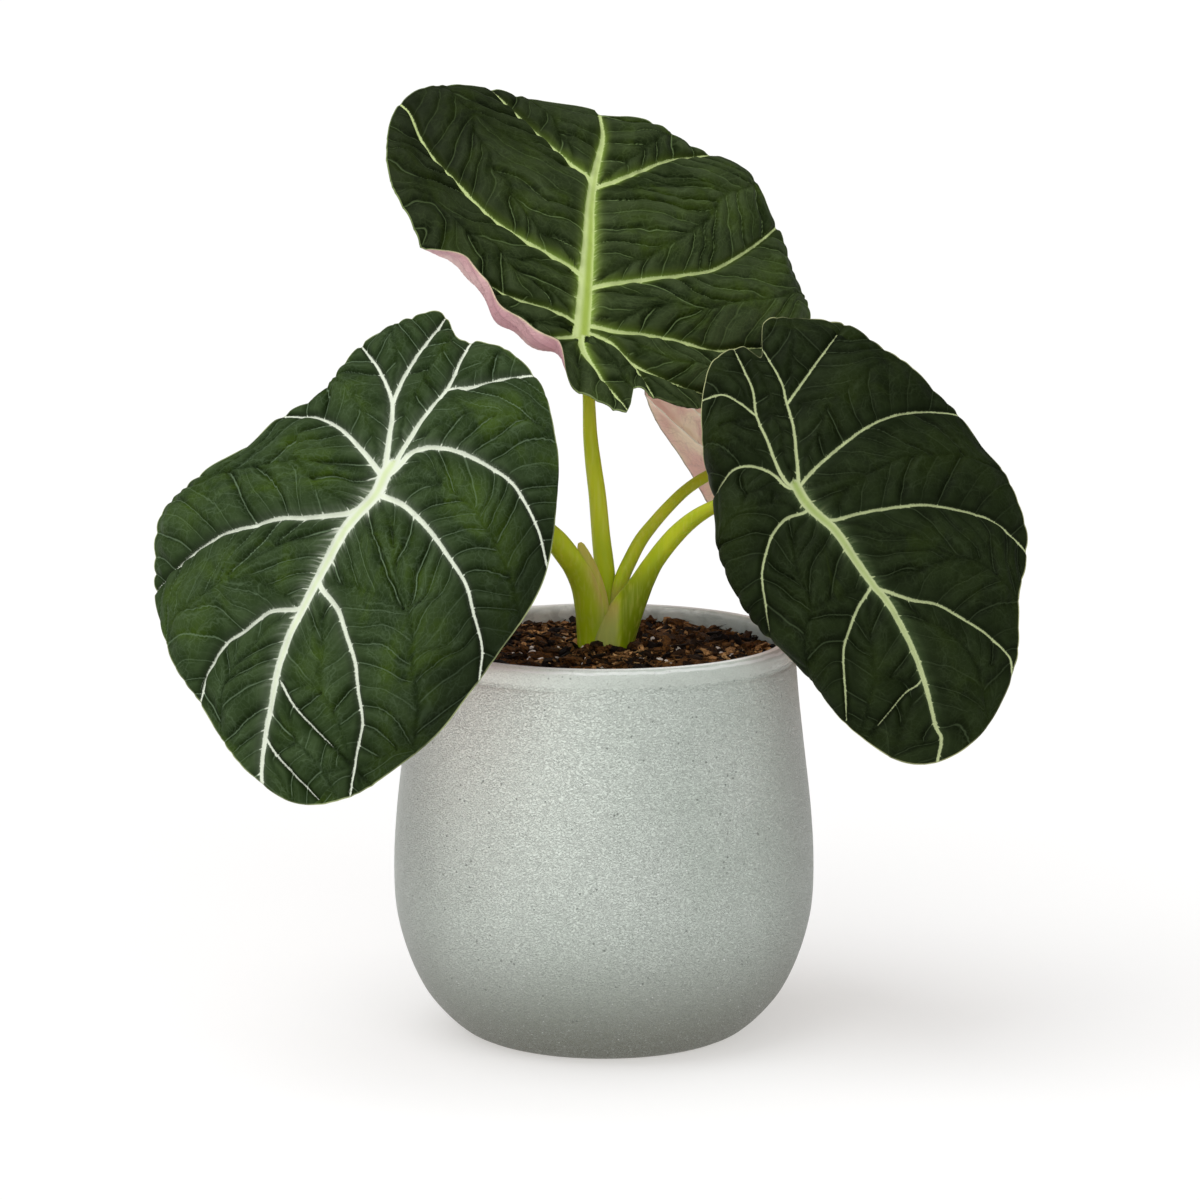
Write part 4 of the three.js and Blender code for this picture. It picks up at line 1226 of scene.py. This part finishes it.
def spin_profile(name, profile, steps):
    """Extrudes one vertex along (height, radius) points and spins them round the axis."""
    bpy.ops.object.select_all(action="DESELECT")
    bpy.ops.mesh.primitive_plane_add(size=0.001)
    obj = bpy.context.active_object
    obj.name = obj.data.name = name
    bpy.ops.object.mode_set(mode="EDIT")
    bpy.ops.mesh.merge(type="CENTER")
    height, radius = profile[0]
    bpy.ops.transform.translate(value=(radius * MM, 0, height * MM))
    for (z0, r0), (z1, r1) in zip(profile, profile[1:]):
        step = ((r1 - r0) * MM, 0, (z1 - z0) * MM)
        bpy.ops.mesh.extrude_region_move(TRANSFORM_OT_translate={"value": step})
    bpy.ops.mesh.select_all(action="SELECT")
    bpy.ops.mesh.spin(steps=steps, angle=2 * math.pi, center=(0, 0, 0), axis=(0, 0, 1))
    bpy.ops.object.mode_set(mode="OBJECT")
    tidy_shell(obj)
    bpy.ops.object.shade_smooth_by_angle(angle=math.radians(50))
    return obj


pot = spin_profile("pot_glazed", pot_profile(), steps=160)
print(pot.name, count_triangles(pot), "triangles")

# %% [markdown]
# ## Glaze
# The glaze is a satin sage grey with a skin like fine leather: thin raised lines that wander
# and close on themselves, and a few pinholes. It is smooth and shiny on the lip, darkened by
# painted shade at the foot, and left dull inside. The broad tones of the belly come first:
# painted light makes it palest high up on the side of the light, and painted shade makes it
# darker towards both sides and the foot.

# %% Glaze: the belly
glaze, g, shader = new_material("sage_glaze")
place = g.add("TexCoord").outputs["Object"]
across, _, height = g.parts(place)
cloud = g.noise(place, 24, 4, 0.55)
colour = g.mix(g.span(cloud, 0.3, 0.7), (0.485, 0.545, 0.485), (0.540, 0.590, 0.537))
# painted light: paler high up on the left, the side of the light
painted_light = g.times(g.span(height, 0.02, 0.115, 0.2, 1), g.span(across, -0.045, 0.03, 0.95, 0.08))
colour = g.mix(painted_light, colour, (0.93, 1.0, 0.91))
# painted shade on both sides of the belly, where it turns away from the front light
painted_side_shade = g.span(g.math("ABSOLUTE", across), 0.045, 0.068, 0, 0.65)
colour = g.mix(painted_side_shade, colour, (0.36, 0.39, 0.35))
# painted shade darkening the foot
painted_foot_shade = g.span(height, 0.0, 0.054, 0.93, 0)
colour = g.mix(painted_foot_shade, colour, (0.090, 0.088, 0.058))
print("belly of the glaze:", len(g.tree.nodes), "nodes")

# %% [markdown]
# The fine skin follows. Noise read close to its middle value gives thin wandering lines. Round
# cells give dots, and a slower noise lets only some of them through, so that they come in
# groups, as pinholes do.

# %% Glaze: lines, specks and pinholes
wide = g.stretch(place, 1, 1, 1.9)
worms = g.noise(wide, 1000, 2, 0.55, 0.6)
ridge = g.span(g.math("ABSOLUTE", g.math("SUBTRACT", worms, 0.5)), 0.0, 0.045, 1, 0)
colour = g.mix(g.times(ridge, 0.55), colour, (0.92, 0.96, 0.91))
grain = g.noise(wide, 1500, 2, 0.6)
speck = g.times(g.span(grain, 0.3, 0.5, 0.5, 0), g.span(painted_light, 0, 1, 1, 0.45))
colour = g.mix(speck, colour, (0.24, 0.27, 0.23))
dark_dots = g.span(g.cells(place, 380), 0.09, 0.16, 1, 0)
rare = g.span(g.noise(place, 170, 2), 0.55, 0.62)
pits = g.times(dark_dots, rare)
colour = g.mix(g.times(pits, 0.6), colour, (0.12, 0.14, 0.12))
light_dots = g.span(g.cells(place, 560), 0.10, 0.18, 1, 0)
few = g.span(g.noise(place, 210, 2, 0.5, 0.4), 0.56, 0.64)
chalk = g.times(light_dots, few, 0.7)
colour = g.mix(chalk, colour, (0.93, 0.95, 0.92))
print("with its skin:", len(g.tree.nodes), "nodes")

# %% [markdown]
# Two painted highlights run along the lip: a wavy pale line just under its top, and its top
# edge. Painted shade darkens the lip from the middle to the right. Inside, it was only brushed
# on and stays dull, with painted shade on its right side. Lines and pits go into the bump, and
# the lip is left smooth.

# %% Glaze: lip and inside
LIP_START, HIGHLIGHT_LEVEL = (0.1262, 0.1275), 0.1324
inner_wall = g.add("VectorMath", {0: g.stretch(place, 1, 1, 0)}, operation="LENGTH")
inside = g.span(inner_wall.outputs["Value"], 0.0582, 0.0600, 1, 0)
inside = g.times(inside, g.span(height, 0.03, 0.04), 0.85)
lip = g.span(height, *LIP_START)
# painted shade on the lip, from the middle to the right
painted_lip_shade = g.times(lip, g.span(across, -0.04, 0.01, 0, 0.6))
colour = g.mix(painted_lip_shade, colour, (0.47, 0.51, 0.46))
# painted highlights: a wavy pale line just under the top of the lip, and its top edge
level = g.plus(height, g.times(g.noise(place, 130, 2), 0.0012))
painted_highlight = g.math("ABSOLUTE", g.math("SUBTRACT", level, HIGHLIGHT_LEVEL))
painted_highlight = g.math("MAXIMUM", g.span(painted_highlight, 0.0002, 0.0006, 0.45, 0),
              g.span(height, 0.1326, 0.1329, 0, 0.8))
colour = g.mix(painted_highlight, colour, (0.93, 0.95, 0.93))
brushed = g.span(g.noise(wide, 90, 3, 0.6, 1.5), 0.4, 0.6)
bare = g.mix(brushed, (0.52, 0.60, 0.56), (0.76, 0.85, 0.80))
# painted shade on the right side of the inside
bare = g.mix(g.span(across, 0.0, 0.05, 0, 0.6), bare, (0.26, 0.29, 0.27))
colour = g.mix(inside, colour, bare)
skin = g.plus(ridge, g.math("SUBTRACT", g.times(worms, 1.5), g.times(pits, 2.0)))
skin = g.times(skin, g.span(lip, 0, 1, 1, 0.2))
connect(g, shader, Base_Color=colour, Roughness=g.span(lip, 0, 1, 0.42, 0.22),
        Specular_IOR_Level=0.5, Normal=g.bump(skin, 0.8, 0.0005))
pot.data.materials.append(glaze)
print("glaze:", len(g.tree.nodes), "nodes")

# %% [markdown]
# ## Soil
# The pot is filled with a coarse mix of bark chips, fibre and grit. A displaced disc gives the
# ground between the chips, and the chips are rough blocks, copied hundreds of times with their
# own sizes, turns and colours. Particles could scatter them, but they would not be meshes that
# another program can read.

# %% Ground
# height at the wall, rise to the crown, and the crown's place
SOIL_EDGE, SOIL_RISE, CROWN = 127, 2.6, (1.5, 1.0)
SOIL_RADIUS, SOIL_FLOOR, FLOOR_SHARE = 57.0, 8.6, 0.62
INSIDE_POT = 55.3  # no bit's middle lies further out


def soil_height(x, y):
    r = np.hypot(x - CROWN[0], y - CROWN[1])
    lumps = 0.8 * ripple(21, x, y, 11) + 0.5 * ripple(22, x, y, 5) + 0.25 * ripple(23, x, y, 2.5)
    return SOIL_EDGE + SOIL_RISE * (1 - smooth(r / 48)) + lumps


ground = new_grid("soil_ground", 100, 100)
slab = ground.modifiers.new("slab", "SOLIDIFY")
slab.thickness, slab.offset = SLAB_THICKNESS, 0
apply_modifiers(ground)
x, y, z = points_of(ground).T
rho, angle = square_to_disc(x, y)
radius = rho * SOIL_RADIUS
radius = np.where(z > 0, radius, radius * FLOOR_SHARE)
x, y = radius * np.cos(np.radians(angle)), radius * np.sin(np.radians(angle))
level = np.where(z > 0, soil_height(x, y), SOIL_FLOOR)
move_points(ground, np.column_stack([x, y, level]) * MM)
tidy_shell(ground)
bpy.ops.object.shade_smooth()
print(ground.name, count_triangles(ground), "triangles")


# %% [markdown]
# One rough block is made for each kind of bit: bark, shreds, grit, perlite, fibres and moss.
# Its copies get their own size, turn, tilt and dents from a seeded draw, are set down at the
# height of the ground, and are joined into one piece, with a tint kept for each copy.


# %% Chips, grit and fibres
def turned(points, rng, tilt):
    """Points turned at random, tilted out of level by up to tilt degrees."""
    spin = rng.uniform(0, 2 * math.pi)
    lean, way = math.radians(rng.uniform(-tilt, tilt)), rng.uniform(0, math.pi)
    c, s = math.cos(spin), math.sin(spin)
    level = points @ np.array([[c, s, 0], [-s, c, 0], [0, 0, 1]])
    axis = np.array([math.cos(way), math.sin(way), 0])
    return (level * math.cos(lean) + np.cross(axis, level) * math.sin(lean)
            + np.outer(level @ axis, axis) * (1 - math.cos(lean)))


def rough_block(name, cuts):
    """One small block with its corners taken in, to be copied."""
    bpy.ops.object.select_all(action="DESELECT")
    bpy.ops.mesh.primitive_cube_add(size=2)
    block = bpy.context.active_object
    block.name = block.data.name = name
    bpy.ops.object.mode_set(mode="EDIT")
    bpy.ops.mesh.select_all(action="SELECT")
    if cuts:
        bpy.ops.mesh.subdivide(number_cuts=cuts, smoothness=0.55)
    bpy.ops.object.mode_set(mode="OBJECT")
    return block


def scatter(name, block, count, seed, spread, sizes, tilt, jag, sink, centre=(0, 0)):
    """Copies a block count times over the soil into one piece, with a tint for each copy."""
    rng = np.random.default_rng(seed)
    base = points_of(block)
    faces = np.array([list(face.vertices) for face in block.data.polygons])
    points, quads, tints = [], [], []
    for k in range(count):
        r, a = spread * rng.uniform(0, 1) ** 0.5, rng.uniform(0, 2 * math.pi)
        x, y = centre[0] + r * math.cos(a), centre[1] + r * math.sin(a)
        x, y = np.array([x, y]) * min(1, INSIDE_POT / math.hypot(x, y))
        size = np.array([rng.uniform(*pair) for pair in sizes]) / 2
        shape = base * (1 + rng.uniform(-jag, jag, base.shape)) * size
        shape = turned(shape, rng, tilt)
        z = soil_height(np.array([x]), np.array([y]))[0] + size[2] * rng.uniform(-sink, 1)
        points.append(shape + (x, y, z))
        quads.append(faces + k * len(base))
        tints.append(np.full(len(base), rng.uniform(0, 1)))
    mesh = bpy.data.meshes.new(name)
    mesh.from_pydata((np.vstack(points) * MM).tolist(), [], np.vstack(quads).tolist())
    piece = bpy.data.objects.new(name, mesh)
    bpy.context.collection.objects.link(piece)
    store(piece, "tint", np.concatenate(tints))
    bpy.data.objects.remove(block)
    print(piece.name, count, "copies,", count_triangles(piece), "triangles")
    return piece


# %% [markdown]
# The numbers of each kind are its count, its seed, how far out it lies, the range of its
# length, width and height in millimetres, its tilt, how dented it is and how deep it sinks.

# %% Scatter the bits
chips = scatter("soil_bark", rough_block("chip", 1), 950, 31, 55.2,
                [(1.8, 6.4), (1.1, 3.1), (0.7, 2.1)], 50, 0.35, 0.45)
shreds = scatter("soil_shreds", rough_block("shred", 0), 2100, 38, INSIDE_POT,
                 [(1.6, 5.6), (0.4, 1.2), (0.3, 0.9)], 42, 0.5, -0.1)
grit = scatter("soil_grit", rough_block("grain", 0), 2200, 32, INSIDE_POT,
               [(0.6, 1.6), (0.5, 1.4), (0.5, 1.3)], 60, 0.35, 0.2)
perlite = scatter("soil_perlite", rough_block("pearl", 1), 80, 37, 44,
                  [(0.7, 2.4), (0.7, 1.9), (0.6, 1.5)], 60, 0.26, -0.6, (8, -22))
fibres = scatter("soil_fibre", rough_block("strand", 1), 420, 35, 54.5,
                 [(5.0, 13.0), (0.3, 0.6), (0.3, 0.5)], 26, 0.5, -0.8)
moss = scatter("soil_moss", rough_block("tuft", 1), 80, 41, 9,
               [(0.8, 2.2), (0.6, 1.6), (0.3, 0.8)], 40, 0.3, -0.6, (1, -46))


# %% [markdown]
# Damp bark is nearly black in its pores and reddish brown where it is bruised, and a few bits
# are pale. The tint of each copy picks its place on that scale, and fine noise breaks it up.


# %% Soil colours
def earth(name, dark, middle, light, rough, bump_scale, shine):
    material, g, shader = new_material(name)
    place = g.add("TexCoord").outputs["Object"]
    tint = g.attribute("tint", vector=False)
    colour = g.mix(g.span(tint, 0.25, 0.7), dark, middle)
    colour = g.mix(g.span(tint, 0.78, 1.0), colour, light)
    fleck = g.noise(place, 1100, 4, 0.7)
    colour = g.mix(g.span(fleck, 0.4, 0.65, 0, 0.85), colour, dark)
    connect(g, shader, Base_Color=colour, Roughness=rough, Specular_IOR_Level=shine,
            Normal=g.bump(g.noise(place, bump_scale, 4, 0.7), 0.9, 0.001))
    return material


SOIL_FINISHES = [
    # piece, name; dark, middle and light colour; roughness, scale of the bumps, shine
    (ground, "earth", (0.004, 0.002, 0.001), (0.010, 0.005, 0.002), (0.02, 0.01, 0.005),
     0.95, 700, 0.05),
    (chips, "bark", (0.004, 0.0015, 0.0004), (0.125, 0.052, 0.011), (0.66, 0.36, 0.14),
     0.6, 1100, 0.12),
    (shreds, "shred", (0.010, 0.004, 0.001), (0.18, 0.078, 0.017), (0.84, 0.52, 0.22),
     0.6, 1300, 0.12),
    (grit, "grit", (0.004, 0.0015, 0.0004), (0.06, 0.025, 0.006), (0.46, 0.26, 0.10),
     0.7, 1500, 0.1),
    (perlite, "perlite", (0.66, 0.60, 0.52), (0.88, 0.84, 0.78), (0.95, 0.93, 0.89),
     0.7, 1500, 0.3),
    (fibres, "fibre", (0.02, 0.009, 0.003), (0.14, 0.065, 0.02), (0.50, 0.30, 0.12),
     0.7, 1500, 0.1),
    (moss, "moss", (0.03, 0.04, 0.004), (0.08, 0.11, 0.01), (0.16, 0.20, 0.03),
     0.8, 1500, 0.1),
]
for piece, *finish in SOIL_FINISHES:
    piece.data.materials.append(earth(*finish))
print("soil pieces dressed:", len(SOIL_FINISHES))

# %% [markdown]
# The rhizome is the short thick stem that the stalks grow from. The soil hides it, so its
# plain solid is enough, but it still gets a brown ringed bark.

# %% Rhizome
bark_brown, g, shader = new_material("rhizome_bark")
rings = g.noise(g.add("TexCoord").outputs["Object"], 300, 4)
connect(g, shader, Base_Color=g.mix(rings, (0.10, 0.06, 0.03), (0.32, 0.22, 0.13)), Roughness=0.9,
        Normal=g.bump(rings, 0.6, 0.001))
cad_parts["rhizome"].data.materials.clear()
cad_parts["rhizome"].data.materials.append(bark_brown)
print("kept solid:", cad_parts["rhizome"].name)

# %% [markdown]
# ## Hand over
# Every new piece is tied to the plant's body, and the solid that it replaces is hidden.

# %% Tie the pieces to the body and hide the solids
REPLACED = {pot: ("pot", "pot"), ground: ("soil", "soil")}
REPLACED.update({piece: ("stalk_" + name, "stalk") for name, piece in stalks.items()})
REPLACED.update({piece: ("blade_" + name, "blade") for name, piece in blades.items()})
for piece, (node, slot) in REPLACED.items():
    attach(piece, "root")
    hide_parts(node)
for piece in (chips, shreds, grit, perlite, fibres, moss, margin):
    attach(piece, "root")

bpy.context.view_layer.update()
